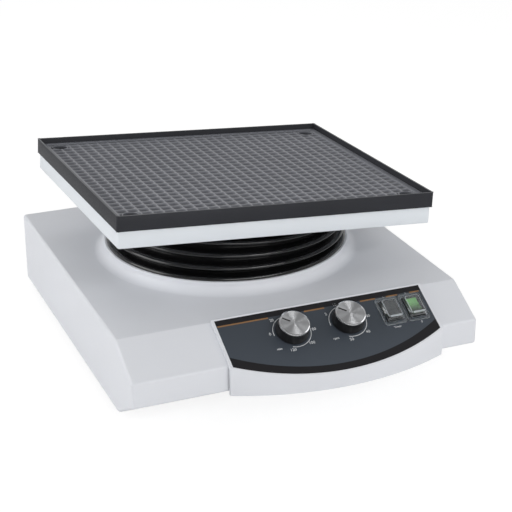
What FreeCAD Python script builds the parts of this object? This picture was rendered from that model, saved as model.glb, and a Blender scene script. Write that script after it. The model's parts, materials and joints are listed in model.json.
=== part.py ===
import FreeCAD, Part
import math
import os

# Tilting platform shaker, in millimetres. +Z is up, z = 0 is the table, x = 0 is the middle of the width
# and y = 0 the middle of the depth, with the console towards -Y. An upright shaft carries a journal that
# leans from it. The platform sits on that journal and a bellows keeps it from turning, so its tilt runs
# round.

# Housing
housing_width = 320.0
housing_depth = 350.0
housing_height = 67.0
slope_run = 42.0
slope_drop = 22.0
front_face_height = 22.5
undercut_run = 39.5
housing_wall = 3.5
edge_round = 2.5

# Collar that carries the bellows
collar_height = 10.5
collar_rim = 2.2
collar_flare = 9.3
collar_edge = 1.0

# Base plate, feet and screw bosses
plate_thickness = 2.0
plate_clearance = 0.4
foot_height = 8.0
foot_radius = 12.0
foot_taper = 1.5
foot_inset = 38.0
foot_setback = 95.0
boss_radius = 5.5
boss_inset = 12.0
boss_setback = 70.0

# Screws
screw_radius = 2.0
screw_head_radius = 3.8
screw_head_height = 2.6
screw_clearance = 0.25
thread_length = 8.0

# Console and its printed foil
console_width = 199.0
console_shift = 24.0
console_reach = 26.0
console_end_reach = 4.0
console_proud = 2.5
console_wall = 2.5
console_drop = 3.0
console_top_gap = 1.0
console_reveal = 1.0
foil_thickness = 0.4
foil_top_margin = 1.5
foil_side_margin = 2.5
foil_front_margin = 1.5

# Knobs and potentiometers
timer_knob_x = -10.5
speed_knob_x = 42.0
knob_down_slope = 25.8
knob_radius = 14.6
knob_top_radius = 14.2
knob_height = 11.5
knob_gap = 0.5
knob_cavity_radius = 10.0
knob_cavity_depth = 5.0
knob_face_thickness = 1.4
knob_face_bevel = 0.8
pointer_width = 1.0
pointer_depth = 0.5
pointer_inner = 4.0
pointer_outer = 11.5
timer_pointer_angle = 157.0
speed_pointer_angle = 157.0
pot_shaft_radius = 3.0
pot_bush_radius = 4.5
pot_bush_rise = 4.0
pot_body_radius = 12.0
pot_body_length = 10.0
pot_nut_radius = 7.0
pot_nut_thickness = 2.0

# Rocker switches under clear caps
timer_switch_x = 84.2
power_switch_x = 106.6
switch_down_slope = 24.0
switch_body_width = 12.8
switch_body_length = 18.6
switch_body_depth = 20.0
switch_flange_width = 14.4
switch_flange_length = 20.4
switch_flange_height = 1.6
rocker_width = 9.6
rocker_length = 15.4
rocker_rise = 2.4
rocker_dish = 8.0
rocker_tip = 7.0
rocker_gap = 0.35
pivot_depth = 2.0
pivot_radius = 1.0
pivot_length = 1.2
cap_width = 21.2
cap_length = 29.0
cap_flange = 1.2
cap_height = 8.6
cap_wall = 1.0
cap_taper = 1.8
cap_corner = 2.0

# Upright drive
axis_setback = 200.0
shaft_radius = 7.5
shaft_end_gap = 3.0
bearing_outside = 17.5
bearing_width = 11.0
block_radius = 27.0
block_height = 42.0
block_flange_radius = 46.0
block_flange_thickness = 7.0
block_shoulder = 2.5
block_screw_count = 4
running_clearance = 0.05
seat_clearance = 0.02

# Belt drive and motor
pulley_gap = 2.0
pulley_width = 12.0
pulley_flange = 1.5
pulley_lip = 3.0
driven_pulley_radius = 45.0
motor_pulley_radius = 15.0
belt_thickness = 1.6
belt_clearance = 0.3
motor_offset_x = -75.0
motor_offset_y = 75.0
motor_radius = 30.0
motor_floor_gap = 4.0
motor_shaft_radius = 4.0
motor_spigot_radius = 11.0
bracket_sheet = 3.0
bracket_margin = 4.0
bracket_foot = 14.0

# Tilting joint
platform_tilt = 5.0
tilt_heading = 32.3
crossing_rise = 17.5
tilt_bearing_bore = 10.0
tilt_bearing_outside = 23.5
tilt_bearing_width = 14.0
head_radius = 22.0
head_gap = 2.0
washer_radius = 13.5
washer_thickness = 2.0
hub_wall = 8.5
hub_shoulder = 4.0
hub_spigot_radius = 84.5
hub_flange_radius = 91.0
hub_flange_thickness = 3.5
hub_screw_circle = 74.0
hub_screw_count = 4

# Platform
platform_width = 297.0
platform_depth = 260.0
deck_rise = 36.9
tray_height = 15.4
tray_inset = 1.8
tray_sheet = 2.0
tray_corner = 2.0
rim_height = 13.9
rim_wall = 2.0
rim_ledge = 8.0
rim_ledge_thickness = 1.5
rim_corner = 2.5
mat_clearance = 0.3
mat_thickness = 8.6
mat_pocket_depth = 2.3
mat_pitch_x = 10.06
mat_pitch_y = 9.64
mat_border = 2.3
mat_hole_radius = 7.0
corner_hole_inset = 18.0
insert_bore = 2.1
insert_radius = 3.5
insert_flange_radius = 5.2
insert_flange = 1.2
insert_length = 9.0

# Bellows
bellows_base_radius = 113.3
bellows_top_radius = 103.0
bellows_ribs = 4
bellows_fold = 8.0
bellows_wall = 2.0
bellows_lip = 2.0
bellows_lip_width = 18.0
bellows_clearance = 0.3
bellows_neck = 1.0
ridge_share = 0.24
valley_share = 0.16
ring_width = 5.5
ring_thickness = 3.0

# Power inlet, power supply and control board
inlet_side = 65.0
inlet_height = 33.0
inlet_proud = 2.5
inlet_flange_end = 5.0
inlet_flange_height = 24.0
inlet_flange_corner = 4.0
inlet_body_width = 28.0
inlet_body_height = 20.0
inlet_body_depth = 24.0
inlet_socket_width = 24.2
inlet_socket_height = 16.4
inlet_socket_depth = 16.5
inlet_socket_chamfer = 5.0
inlet_pin_width = 2.0
inlet_pin_height = 4.0
inlet_pin_length = 13.0
inlet_pin_spacing = 14.0
inlet_earth_offset = 4.0
inlet_screw_spacing = 40.0
inlet_screw_radius = 1.6
inlet_screw_head = 3.0
supply_side_gap = 30.5
supply_setback = 72.0
supply_width = 76.0
supply_depth = 84.0
supply_height = 34.0
supply_round = 2.0
board_side_gap = 18.5
board_setback = 92.0
board_width = 100.0
board_depth = 52.0
board_thickness = 1.6
standoff_height = 8.0
standoff_radius = 3.0
standoff_inset = 5.0

# Levels and places that follow from the sizes above
floor_z = foot_height
top_z = floor_z + housing_height
slope_foot_z = top_z - slope_drop
front_foot_z = slope_foot_z - front_face_height
collar_z = top_z + collar_height
plate_z = floor_z + plate_thickness
front_y = (console_reach - housing_depth - inlet_proud) / 2
back_y = front_y + housing_depth
axis_y = front_y + axis_setback
crossing_z = collar_z + crossing_rise
pulley_z = plate_z + block_height + pulley_gap
motor_x = motor_offset_x
motor_y = axis_y + motor_offset_y
slope_angle = math.degrees(math.atan2(slope_drop, slope_run))
collar_radius = bellows_base_radius + collar_rim
collar_bore = bellows_base_radius - bellows_lip_width
console_back_y = front_y + slope_run - console_top_gap
foil_back_y = console_back_y - foil_top_margin
inside_x = housing_width / 2 - housing_wall
inlet_x = housing_width / 2 - inlet_side
inlet_flange_width = inlet_screw_spacing + 2 * inlet_flange_end
supply_x = inside_x - supply_side_gap - supply_width / 2
board_x = board_side_gap + board_width / 2 - inside_x
deck_under = deck_rise - tray_sheet
rim_top = deck_rise + rim_height

X_AXIS = FreeCAD.Vector(1, 0, 0)
Y_AXIS = FreeCAD.Vector(0, 1, 0)
Z_AXIS = FreeCAD.Vector(0, 0, 1)
TURN = 360.0
HALF_TURN = 180.0
QUARTER_TURN = 90.0

# How far a cutter runs past the face it opens, and the distance under which two points are one
overshoot = 1.0
same_point = 1e-6


def vec(x, y, z):
    return FreeCAD.Vector(x, y, z)


def turned_by(axis, angle):
    return FreeCAD.Placement(vec(0, 0, 0), FreeCAD.Rotation(axis, angle))


def moved_by(x, y, z):
    return FreeCAD.Placement(vec(x, y, z), FreeCAD.Rotation())


lean_axis = vec(-math.sin(math.radians(tilt_heading)), math.cos(math.radians(tilt_heading)), 0)

# Frames: on the upright axis, on the leaning axis where the two cross, and on the sloping front
upright = moved_by(0, axis_y, 0)
leaning = moved_by(0, axis_y, crossing_z).multiply(turned_by(lean_axis, platform_tilt))
panel = moved_by(0, front_y + slope_run, top_z).multiply(turned_by(X_AXIS, slope_angle))


def on_panel(x, down_slope):
    """The frame on the sloping front at x and a distance down the slope, with Z square out of it."""
    return panel.multiply(moved_by(x, -down_slope, 0))


def placed(shape, frame):
    shape.Placement = frame.multiply(shape.Placement)
    return shape


def outline(start, *steps):
    """A closed face from lines to points and arcs given as (point on the arc, end)."""
    edges = []
    here = start
    for step in steps + (start,):
        end = step[1] if isinstance(step, tuple) else step
        if isinstance(step, tuple):
            edges.append(Part.Arc(here, step[0], end).toShape())
        elif here.distanceToPoint(end) > same_point:
            edges.append(Part.LineSegment(here, end).toShape())
        here = end
    return Part.Face(Part.Wire(edges))


def turned(frame, start, *steps):
    """A solid of revolution about the frame's Z from an outline of (radius, height) pairs."""
    def point(pair):
        return vec(pair[0], 0, pair[1])

    def step_points(step):
        return tuple(point(p) for p in step) if isinstance(step[0], tuple) else point(step)

    face = outline(point(start), *[step_points(s) for s in steps])
    return placed(face.revolve(vec(0, 0, 0), Z_AXIS, TURN), frame)


def tube(frame, bore, outside, low, high):
    return turned(frame, (bore, low), (outside, low), (outside, high), (bore, high))


def rod(frame, radius, low, high):
    return placed(Part.makeCylinder(radius, high - low, vec(0, 0, low)), frame)


def block(frame, width, depth, low, high):
    """A box centred on the frame's Z, from low to high."""
    return placed(Part.makeBox(width, depth, high - low, vec(-width / 2, -depth / 2, low)), frame)


def rounded_block(frame, width, depth, low, high, corner):
    """A centred box whose upright edges are rounded."""
    box = Part.makeBox(width, depth, high - low, vec(-width / 2, -depth / 2, low))
    upright_edges = [e for e in box.Edges if abs(e.tangentAt(e.FirstParameter).z) > 0.5]
    return placed(box.makeFillet(corner, upright_edges), frame)


def at_corners(half_x, half_y):
    return [(sx * half_x, sy * half_y) for sx in (-1, 1) for sy in (-1, 1)]


def on_circle(radius, count, start_angle):
    """Points evenly spaced on a circle about the origin."""
    angles = [math.radians(start_angle + TURN * i / count) for i in range(count)]
    return [(radius * math.cos(a), radius * math.sin(a)) for a in angles]


def screw(frame, shank):
    """A pan head screw whose head sits on the frame's plane and whose shank goes down from it."""
    return turned(
        frame,
        (0, -shank),
        (screw_radius, -shank),
        (screw_radius, 0),
        (screw_head_radius, 0),
        (screw_head_radius, screw_head_height),
        (0, screw_head_height),
    )


def screw_hole(frame, depth):
    return rod(frame, screw_radius + screw_clearance, -depth, screw_head_height)


def inset_polygon(points, distance):
    """The (y, z) polygon moved inwards by a distance, corner by corner; points run clockwise."""
    moved = []
    count = len(points)
    for i in range(count):
        before, here, after = points[i - 1], points[i], points[(i + 1) % count]
        lines = []
        for start, end in ((before, here), (here, after)):
            dy, dz = end[0] - start[0], end[1] - start[1]
            length = math.hypot(dy, dz)
            normal = (dz / length, -dy / length)
            lines.append((normal, normal[0] * here[0] + normal[1] * here[1] + distance))
        (a, p), (b, q) = lines
        cross = a[0] * b[1] - a[1] * b[0]
        moved.append(((p * b[1] - q * a[1]) / cross, (a[0] * q - b[0] * p) / cross))
    return moved


def housing_profile(depth_below):
    """The housing's side outline, carried on a distance below its lower edge."""
    undercut_slope = undercut_run / (front_foot_z - floor_z)
    return [
        (front_y + undercut_run + depth_below * undercut_slope, floor_z - depth_below),
        (front_y, front_foot_z),
        (front_y, slope_foot_z),
        (front_y + slope_run, top_z),
        (back_y, top_z),
        (back_y, floor_z - depth_below),
    ]


def across(points, width):
    """A (y, z) outline carried across the width about x = 0."""
    corners = [vec(-width / 2, y, z) for y, z in points]
    return outline(*corners).extrude(vec(width, 0, 0))


def knob_places():
    return [on_panel(timer_knob_x, knob_down_slope), on_panel(speed_knob_x, knob_down_slope)]


def switch_places():
    return [on_panel(timer_switch_x, switch_down_slope), on_panel(power_switch_x, switch_down_slope)]


def panel_cutouts():
    """Holes for the potentiometer bushes and the switch bodies, through everything on the slope."""
    reach = console_proud + housing_wall
    cutters = [rod(f, pot_bush_radius + screw_clearance, -2 * reach, reach) for f in knob_places()]
    for frame in switch_places():
        width = switch_body_width + 2 * screw_clearance
        length = switch_body_length + 2 * screw_clearance
        cutters.append(block(frame, width, length, -2 * reach, reach))
    return cutters


def boss_places():
    side = housing_width / 2 - boss_inset
    rows = [front_y + boss_setback, axis_y, back_y - boss_inset]
    return [(sx * side, y) for sx in (-1, 1) for y in rows]


def foot_places():
    side = housing_width / 2 - foot_inset
    return [(sx * side, y) for sx in (-1, 1) for y in (front_y + foot_setback, back_y - foot_inset)]


def inlet_frame():
    """On the back wall, with Z out of it and X along the width."""
    return moved_by(inlet_x, back_y, floor_z + inlet_height).multiply(turned_by(X_AXIS, -QUARTER_TURN))


def inlet_screw_places():
    return [(sx * inlet_screw_spacing / 2, 0) for sx in (-1, 1)]


def block_screw_places():
    middle = (block_radius + block_flange_radius) / 2
    return on_circle(middle, block_screw_count, TURN / block_screw_count / 2)


def hub_screw_places():
    return on_circle(hub_screw_circle, hub_screw_count, TURN / hub_screw_count / 2)


def insert_places():
    return at_corners(platform_width / 2 - corner_hole_inset, platform_depth / 2 - corner_hole_inset)


def make_collar():
    """The raised round rim, hollow below, with a flare into the flat top."""
    foot = collar_radius + collar_flare
    bend = collar_flare * (1 - math.sqrt(0.5))
    edge_bend = collar_edge * (1 - math.sqrt(0.5))
    return turned(
        upright,
        (collar_bore, collar_z),
        (collar_radius - collar_edge, collar_z),
        ((collar_radius - edge_bend, collar_z - edge_bend), (collar_radius, collar_z - collar_edge)),
        (collar_radius, top_z + collar_flare),
        ((collar_radius + bend, top_z + bend), (foot, top_z)),
        (foot, top_z - housing_wall),
        (collar_radius - housing_wall, top_z - housing_wall),
        (collar_radius - housing_wall, collar_z - housing_wall),
        (collar_bore, collar_z - housing_wall),
    )


def make_housing_shell():
    """A moulded shell, open below: rounded outside, hollow, with collar, bosses and cut-outs."""
    body = across(housing_profile(0), housing_width)
    edges = [e for e in body.Edges if e.CenterOfMass.z > floor_z + edge_round]
    body = body.makeFillet(edge_round, edges)
    hollow = inset_polygon(housing_profile(2 * housing_wall), housing_wall)
    body = body.cut(across(hollow, housing_width - 2 * housing_wall))
    body = body.cut(rod(upright, collar_radius - housing_wall, plate_z, collar_z))
    body = body.fuse(make_collar())
    for x, y in boss_places():
        boss = tube(moved_by(x, y, 0), screw_radius, boss_radius, plate_z, top_z - housing_wall)
        body = body.fuse(boss)
    opening = block(inlet_frame(), inlet_body_width + 2 * screw_clearance,
                    inlet_body_height + 2 * screw_clearance, -2 * housing_wall, inlet_proud)
    holes = [
        rod(inlet_frame().multiply(moved_by(x, z, 0)), inlet_screw_radius, -2 * housing_wall, inlet_proud)
        for x, z in inlet_screw_places()
    ]
    return body.cut([opening] + holes + panel_cutouts())


def make_base_plate():
    undercut_angle = math.atan2(front_foot_z - floor_z, undercut_run)
    plate_front = front_y + undercut_run + housing_wall / math.sin(undercut_angle) + plate_clearance
    plate_back = back_y - housing_wall - plate_clearance
    width = housing_width - 2 * (housing_wall + plate_clearance)
    middle = moved_by(0, (plate_front + plate_back) / 2, 0)
    plate = block(middle, width, plate_back - plate_front, floor_z, plate_z)
    places = boss_places() + foot_places()
    places += [(x, axis_y + y) for x, y in block_screw_places()]
    places += [(motor_x + x, motor_y + y) for x, y in bracket_foot_places()]
    hole_radius = screw_radius + screw_clearance
    holes = [rod(moved_by(x, y, plate_z), hole_radius, -2 * plate_thickness, overshoot) for x, y in places]
    return plate.cut(holes)


def make_base_screws():
    flip = turned_by(X_AXIS, HALF_TURN)
    return [screw(moved_by(x, y, floor_z).multiply(flip), plate_thickness + thread_length)
            for x, y in boss_places()]


def make_rubber_feet():
    counterbore = screw_head_radius + 4 * screw_clearance
    seat = foot_height / 2
    return [
        turned(
            moved_by(x, y, 0),
            (counterbore, 0),
            (foot_radius - foot_taper, 0),
            (foot_radius, foot_height),
            (screw_radius + screw_clearance, foot_height),
            (screw_radius + screw_clearance, seat),
            (counterbore, seat),
        )
        for x, y in foot_places()
    ]


def make_foot_screws():
    flip = turned_by(X_AXIS, HALF_TURN)
    return [screw(moved_by(x, y, foot_height / 2).multiply(flip), foot_height / 2 + plate_thickness)
            for x, y in foot_places()]


def console_block(side_margin, front_margin, back, low, proud):
    """An upright block with the console's bowed front, cut off by a plane proud of the slope."""
    half = console_width / 2 - side_margin
    left = console_shift - half
    right = console_shift + half
    end = front_y - console_end_reach + front_margin
    nose = front_y - console_reach + front_margin
    high = top_z + console_reach
    face = outline(
        vec(left, back, low),
        vec(left, end, low),
        (vec(console_shift, nose, low), vec(right, end, low)),
        vec(right, back, low),
    )
    above = block(panel, 2 * housing_width, 2 * housing_depth, proud, proud + 2 * housing_depth)
    return face.extrude(vec(0, 0, high - low)).cut(above)


def make_console_bezel():
    """The bowed moulding: a plate on the slope and a hollow nose that overhangs the front face."""
    low = front_foot_z - console_drop
    bezel = console_block(0, 0, console_back_y, low, console_proud)
    bezel = bezel.cut(across(housing_profile(0), 2 * housing_width))
    nose_back = front_y - console_reveal
    hollow = console_block(console_wall, console_wall, nose_back, low + console_wall,
                           console_proud - console_wall)
    behind_nose = moved_by(console_shift, nose_back + slope_run, 0)
    reveal = block(behind_nose, console_width + 2 * console_wall, 2 * slope_run,
                   low - console_wall, slope_foot_z - console_reveal)
    recess = console_block(foil_side_margin, foil_front_margin, foil_back_y, low, housing_depth)
    recess = recess.common(foil_layer())
    return bezel.cut([hollow, reveal, recess] + panel_cutouts())


def foil_layer():
    low = console_proud - foil_thickness
    return block(panel, 2 * housing_width, 2 * housing_depth, low, console_proud)


def make_panel_foil():
    low = front_foot_z - console_drop
    sheet = console_block(foil_side_margin, foil_front_margin, foil_back_y, low, console_proud)
    return sheet.common(foil_layer()).cut(panel_cutouts())


def make_potentiometer(frame):
    """A round body below the slope with a bush that comes up through the panel."""
    top = console_proud + pot_bush_rise
    low = -housing_wall - pot_body_length
    bore = pot_shaft_radius + running_clearance
    return turned(
        frame,
        (bore, low),
        (pot_body_radius, low),
        (pot_body_radius, -housing_wall),
        (pot_bush_radius, -housing_wall),
        (pot_bush_radius, top),
        (bore, top),
    )


def make_potentiometer_nut(frame):
    corners = [vec(x, y, console_proud) for x, y in on_circle(pot_nut_radius, 6, 0)]
    nut = placed(outline(*corners).extrude(vec(0, 0, pot_nut_thickness)), frame)
    return nut.cut(rod(frame, pot_bush_radius + seat_clearance, 0, 2 * knob_height))


def knob_base():
    return console_proud + knob_gap


def make_knob_shaft(frame):
    low = -housing_wall - pot_body_length
    return rod(frame, pot_shaft_radius, low, knob_base() + knob_height - 2 * knob_face_thickness)


def make_knob_skirt(frame):
    base = knob_base()
    top = base + knob_height - knob_face_thickness
    bore = pot_shaft_radius + seat_clearance
    roof = base + knob_height - 2 * knob_face_thickness
    return turned(
        frame,
        (knob_cavity_radius, base),
        (knob_radius, base),
        (knob_top_radius, top),
        (0, top),
        (0, roof),
        (bore, roof),
        (bore, base + knob_cavity_depth),
        (knob_cavity_radius, base + knob_cavity_depth),
    )


def make_knob_face(frame, pointer_angle):
    """A turned metal disc with a bevelled edge and an engraved pointer."""
    top = knob_base() + knob_height
    low = top - knob_face_thickness
    disc = turned(
        frame,
        (0, low),
        (knob_top_radius, low),
        (knob_top_radius, top - knob_face_bevel),
        (knob_top_radius - knob_face_bevel, top),
        (0, top),
    )
    middle = (pointer_inner + pointer_outer) / 2
    along = frame.multiply(turned_by(Z_AXIS, pointer_angle)).multiply(moved_by(middle, 0, 0))
    length = pointer_outer - pointer_inner
    return disc.cut(block(along, length, pointer_width, top - pointer_depth, top + overshoot))


def rocker_pivot(frame):
    return frame.multiply(moved_by(0, 0, console_proud + switch_flange_height - pivot_depth))


def rocker_radius():
    half = rocker_length / 2
    dish = math.radians(rocker_dish)
    return math.hypot(half * math.cos(dish), rocker_rise + half * math.sin(dish))


def make_switch_body(frame):
    """A flanged body with a round recess and two holes that carry the rocker's pivots."""
    low = console_proud - switch_body_depth
    high = console_proud + switch_flange_height
    body = block(frame, switch_body_width, switch_body_length, low, console_proud)
    flange = block(frame, switch_flange_width, switch_flange_length, console_proud, high)
    sideways = rocker_pivot(frame).multiply(turned_by(Y_AXIS, QUARTER_TURN))
    half_width = rocker_width / 2 + rocker_gap
    recess = rod(sideways, rocker_radius() + rocker_gap, -half_width, half_width)
    hole_reach = rocker_width / 2 + pivot_length + rocker_gap
    holes = rod(sideways, pivot_radius + running_clearance, -hole_reach, hole_reach)
    return body.fuse(flange).cut([recess, holes]).removeSplitter()


def make_rocker(frame, tip):
    """A dished rocker, round below its pivots, tipped to one side."""
    pivot = rocker_pivot(frame).multiply(turned_by(X_AXIS, tip))
    half = rocker_length / 2
    dish = math.radians(rocker_dish)
    end_y = half * math.cos(dish)
    end_z = rocker_rise + half * math.sin(dish)
    x = -rocker_width / 2
    face = outline(
        vec(x, -end_y, end_z),
        vec(x, 0, rocker_rise),
        vec(x, end_y, end_z),
        (vec(x, 0, -rocker_radius()), vec(x, -end_y, end_z)),
    )
    rocker = placed(face.extrude(vec(rocker_width, 0, 0)), pivot)
    sideways = pivot.multiply(turned_by(Y_AXIS, QUARTER_TURN))
    pin_reach = rocker_width / 2 + pivot_length
    return rocker.fuse(rod(sideways, pivot_radius, -pin_reach, pin_reach))


def rounded_wire(frame, width, length, corner, height):
    box = rounded_block(FreeCAD.Placement(), width, length, height, height + overshoot, corner)
    floor = [f for f in box.Faces if abs(f.CenterOfMass.z - height) < same_point][0]
    return placed(floor.OuterWire, frame)


def cap_form(frame, width, length, corner, low, high):
    wires = [rounded_wire(frame, width, length, corner, low),
             rounded_wire(frame, width - 2 * cap_taper, length - 2 * cap_taper, corner, high)]
    return Part.makeLoft(wires, True, True)


def make_switch_cap(frame):
    """A clear splash cap: a flat flange round the switch and a tapered hood over the rocker."""
    flange_top = console_proud + cap_flange
    flange = rounded_block(frame, cap_width, cap_length, console_proud, flange_top, cap_corner)
    width = switch_flange_width + 2 * (cap_wall + rocker_gap)
    length = switch_flange_length + 2 * (cap_wall + rocker_gap)
    hood = cap_form(frame, width, length, cap_corner, console_proud, console_proud + cap_height)
    inner = cap_form(frame, width - 2 * cap_wall, length - 2 * cap_wall, cap_corner - cap_wall,
                     console_proud, console_proud + cap_height - cap_wall)
    well = rounded_block(frame, width - 2 * cap_wall, length - 2 * cap_wall, console_proud,
                         console_proud + switch_flange_height + rocker_gap, cap_corner - cap_wall)
    return flange.fuse(hood).cut([inner, well]).removeSplitter()


def bearing_rings(frame, bore, outside, width, low):
    """Inner and outer ring of a sealed bearing, with running clearance between them."""
    middle = (bore + outside) / 2
    inner = tube(frame, bore + seat_clearance, middle - running_clearance / 2, low, low + width)
    outer = tube(frame, middle + running_clearance / 2, outside - seat_clearance, low, low + width)
    return inner, outer


def shaft_bearing_levels():
    return [plate_z + block_shoulder, plate_z + block_height - bearing_width]


def make_bearing_block():
    """A turned pedestal with a flange and two bearing seats."""
    top = plate_z + block_height
    low_seat, high_seat = shaft_bearing_levels()
    waist = bearing_outside - block_shoulder
    body = turned(
        upright,
        (waist, plate_z),
        (block_flange_radius, plate_z),
        (block_flange_radius, plate_z + block_flange_thickness),
        (block_radius, plate_z + block_flange_thickness),
        (block_radius, top),
        (bearing_outside, top),
        (bearing_outside, high_seat),
        (waist, high_seat),
        (waist, low_seat + bearing_width),
        (bearing_outside, low_seat + bearing_width),
        (bearing_outside, low_seat),
        (waist, low_seat),
    )
    flange_top = plate_z + block_flange_thickness
    return body.cut([screw_hole(upright.multiply(moved_by(x, y, flange_top)), 2 * block_flange_thickness)
                     for x, y in block_screw_places()])


def make_block_screws():
    top = plate_z + block_flange_thickness
    return [screw(upright.multiply(moved_by(x, y, top)), block_flange_thickness + plate_thickness)
            for x, y in block_screw_places()]


def journal_low():
    """The level on the leaning axis where the journal leaves the slanted head."""
    return -tilt_bearing_width / 2 - head_gap


def make_drive_shaft():
    """One turned piece: upright shaft, head with a slanted top, and the journal that leans from it."""
    head_low = pulley_z + pulley_width
    shaft = rod(upright, shaft_radius, plate_z + shaft_end_gap, head_low)
    head = rod(upright, head_radius, head_low, crossing_z)
    reach = 2 * crossing_z
    head = head.cut(block(leaning, reach, reach, journal_low(), reach))
    journal = rod(leaning, tilt_bearing_bore, journal_low(), tilt_bearing_width / 2)
    shoulder = rod(leaning, tilt_bearing_bore + head_gap, journal_low(), -tilt_bearing_width / 2)
    hole = rod(leaning, screw_radius, tilt_bearing_width / 2 - thread_length, tilt_bearing_width)
    return shaft.fuse([head, journal, shoulder]).cut(hole).removeSplitter()


def make_journal_washer():
    low = tilt_bearing_width / 2
    return tube(leaning, screw_radius + screw_clearance, washer_radius, low, low + washer_thickness)


def make_journal_screw():
    low = tilt_bearing_width / 2 + washer_thickness
    return screw(leaning.multiply(moved_by(0, 0, low)), washer_thickness + thread_length / 2)


def make_platform_hub():
    """A turned hub: bearing seat on the leaning axis, cone and flange that hold the bellows' upper lip."""
    seat_low = -tilt_bearing_width / 2
    seat_high = tilt_bearing_width / 2
    outside = tilt_bearing_outside + hub_wall
    shoulder = tilt_bearing_outside - hub_shoulder
    flange_top = deck_under - bellows_lip - 2 * bellows_clearance
    flange_low = flange_top - hub_flange_thickness
    body = turned(
        leaning,
        (tilt_bearing_outside, seat_low),
        (outside, seat_low),
        (outside, seat_high),
        (hub_screw_circle, flange_low),
        (hub_flange_radius, flange_low),
        (hub_flange_radius, flange_top),
        (hub_spigot_radius, flange_top),
        (hub_spigot_radius, deck_under),
        (shoulder, deck_under),
        (shoulder, seat_high),
        (tilt_bearing_outside, seat_high),
    )
    return body.cut([screw_hole(leaning.multiply(moved_by(x, y, deck_under)), thread_length)
                     for x, y in hub_screw_places()])


def make_hub_screws():
    frame = leaning.multiply(moved_by(0, 0, deck_rise))
    shank = tray_sheet + thread_length
    return [screw(frame.multiply(moved_by(x, y, 0)), shank) for x, y in hub_screw_places()]


def make_pulley(frame, radius, bore):
    """A belt pulley with two lips that keep the belt on."""
    low = pulley_z
    high = pulley_z + pulley_width
    run = radius - belt_clearance
    lip = radius + pulley_lip
    return turned(
        frame,
        (bore + seat_clearance, low),
        (lip, low),
        (lip, low + pulley_flange),
        (run, low + pulley_flange),
        (run, high - pulley_flange),
        (lip, high - pulley_flange),
        (lip, high),
        (bore + seat_clearance, high),
    )


def belt_outline(extra, level):
    """The closed line of a belt round both pulleys, a distance outside its inner face."""
    distance = math.hypot(motor_offset_x, motor_offset_y)
    along = vec(motor_offset_x / distance, motor_offset_y / distance, 0)
    side = vec(-along.y, along.x, 0)
    lean = (driven_pulley_radius - motor_pulley_radius) / distance
    flat = math.sqrt(1 - lean ** 2)
    big, small = driven_pulley_radius + extra, motor_pulley_radius + extra
    at_shaft = vec(0, axis_y, level)
    at_motor = vec(motor_x, motor_y, level)
    near = along * lean + side * flat
    far = along * lean - side * flat
    return outline(
        at_shaft + near * big,
        at_motor + near * small,
        (at_motor + along * small, at_motor + far * small),
        at_shaft + far * big,
        (at_shaft - along * big, at_shaft + near * big),
    )


def make_drive_belt():
    level = pulley_z + pulley_flange + belt_clearance
    height = vec(0, 0, pulley_width - 2 * pulley_flange - 2 * belt_clearance)
    return belt_outline(belt_thickness, level).extrude(height).cut(belt_outline(0, level).extrude(height))


def bracket_top():
    return pulley_z - pulley_gap - bracket_sheet


def bracket_half():
    return motor_radius + bracket_margin


def bracket_foot_places():
    half = bracket_half() + bracket_sheet + bracket_foot / 2
    return at_corners(half, motor_radius / 2)


def make_motor_bracket():
    """A bent sheet that stands over the motor, with a hole for its spigot."""
    half = bracket_half()
    sheet = bracket_sheet
    top = bracket_top()
    right_side = [(half, plate_z), (half + sheet + bracket_foot, plate_z),
                  (half + sheet + bracket_foot, plate_z + sheet), (half + sheet, plate_z + sheet),
                  (half + sheet, top + sheet)]
    inside = [(half, top), (half, plate_z)]
    points = [(-x, z) for x, z in reversed(right_side)]
    points = right_side[1:] + points[:-1] + [(-x, z) for x, z in reversed(inside)] + inside[:1]
    frame = moved_by(motor_x, motor_y, 0)
    corners = [vec(x, -half, z) for x, z in points + [(half, plate_z)]]
    bracket = placed(outline(*corners).extrude(vec(0, 2 * half, 0)), frame)
    feet = [screw_hole(frame.multiply(moved_by(x, y, plate_z + sheet)), 2 * sheet)
            for x, y in bracket_foot_places()]
    middle = rod(frame, motor_spigot_radius + seat_clearance, top - sheet, top + 2 * sheet)
    return bracket.cut([middle] + feet)


def make_bracket_screws():
    frame = moved_by(motor_x, motor_y, plate_z + bracket_sheet)
    return [screw(frame.multiply(moved_by(x, y, 0)), bracket_sheet + plate_thickness)
            for x, y in bracket_foot_places()]


def make_motor():
    """A flat geared motor that hangs below the bracket, with a spigot in the bracket's hole."""
    low = plate_z + motor_floor_gap
    top = bracket_top()
    bore = motor_shaft_radius + running_clearance
    return turned(
        moved_by(motor_x, motor_y, 0),
        (bore, low + motor_floor_gap),
        (bore, top + bracket_sheet),
        (motor_spigot_radius, top + bracket_sheet),
        (motor_spigot_radius, top),
        (motor_radius, top),
        (motor_radius, low + motor_floor_gap),
        (motor_radius - motor_floor_gap, low),
        (0, low),
        (0, low + motor_floor_gap),
    )


def make_motor_shaft():
    low = plate_z + 2 * motor_floor_gap + running_clearance
    return rod(moved_by(motor_x, motor_y, 0), motor_shaft_radius, low, pulley_z + pulley_width)


def make_platform_tray():
    """A folded tray, open below, with holes for the hub screws and the threaded inserts."""
    width = platform_width - 2 * tray_inset
    depth = platform_depth - 2 * tray_inset
    low = deck_rise - tray_height
    tray = rounded_block(leaning, width, depth, low, deck_rise, tray_corner)
    tray = tray.cut(block(leaning, width - 2 * tray_sheet, depth - 2 * tray_sheet, low, deck_under))
    at_deck = leaning.multiply(moved_by(0, 0, deck_rise))
    depth = 2 * tray_sheet
    holes = [screw_hole(at_deck.multiply(moved_by(x, y, 0)), depth) for x, y in hub_screw_places()]
    hole_radius = insert_radius + seat_clearance
    holes += [rod(at_deck.multiply(moved_by(x, y, 0)), hole_radius, -depth, overshoot)
              for x, y in insert_places()]
    return tray.cut(holes)


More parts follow.
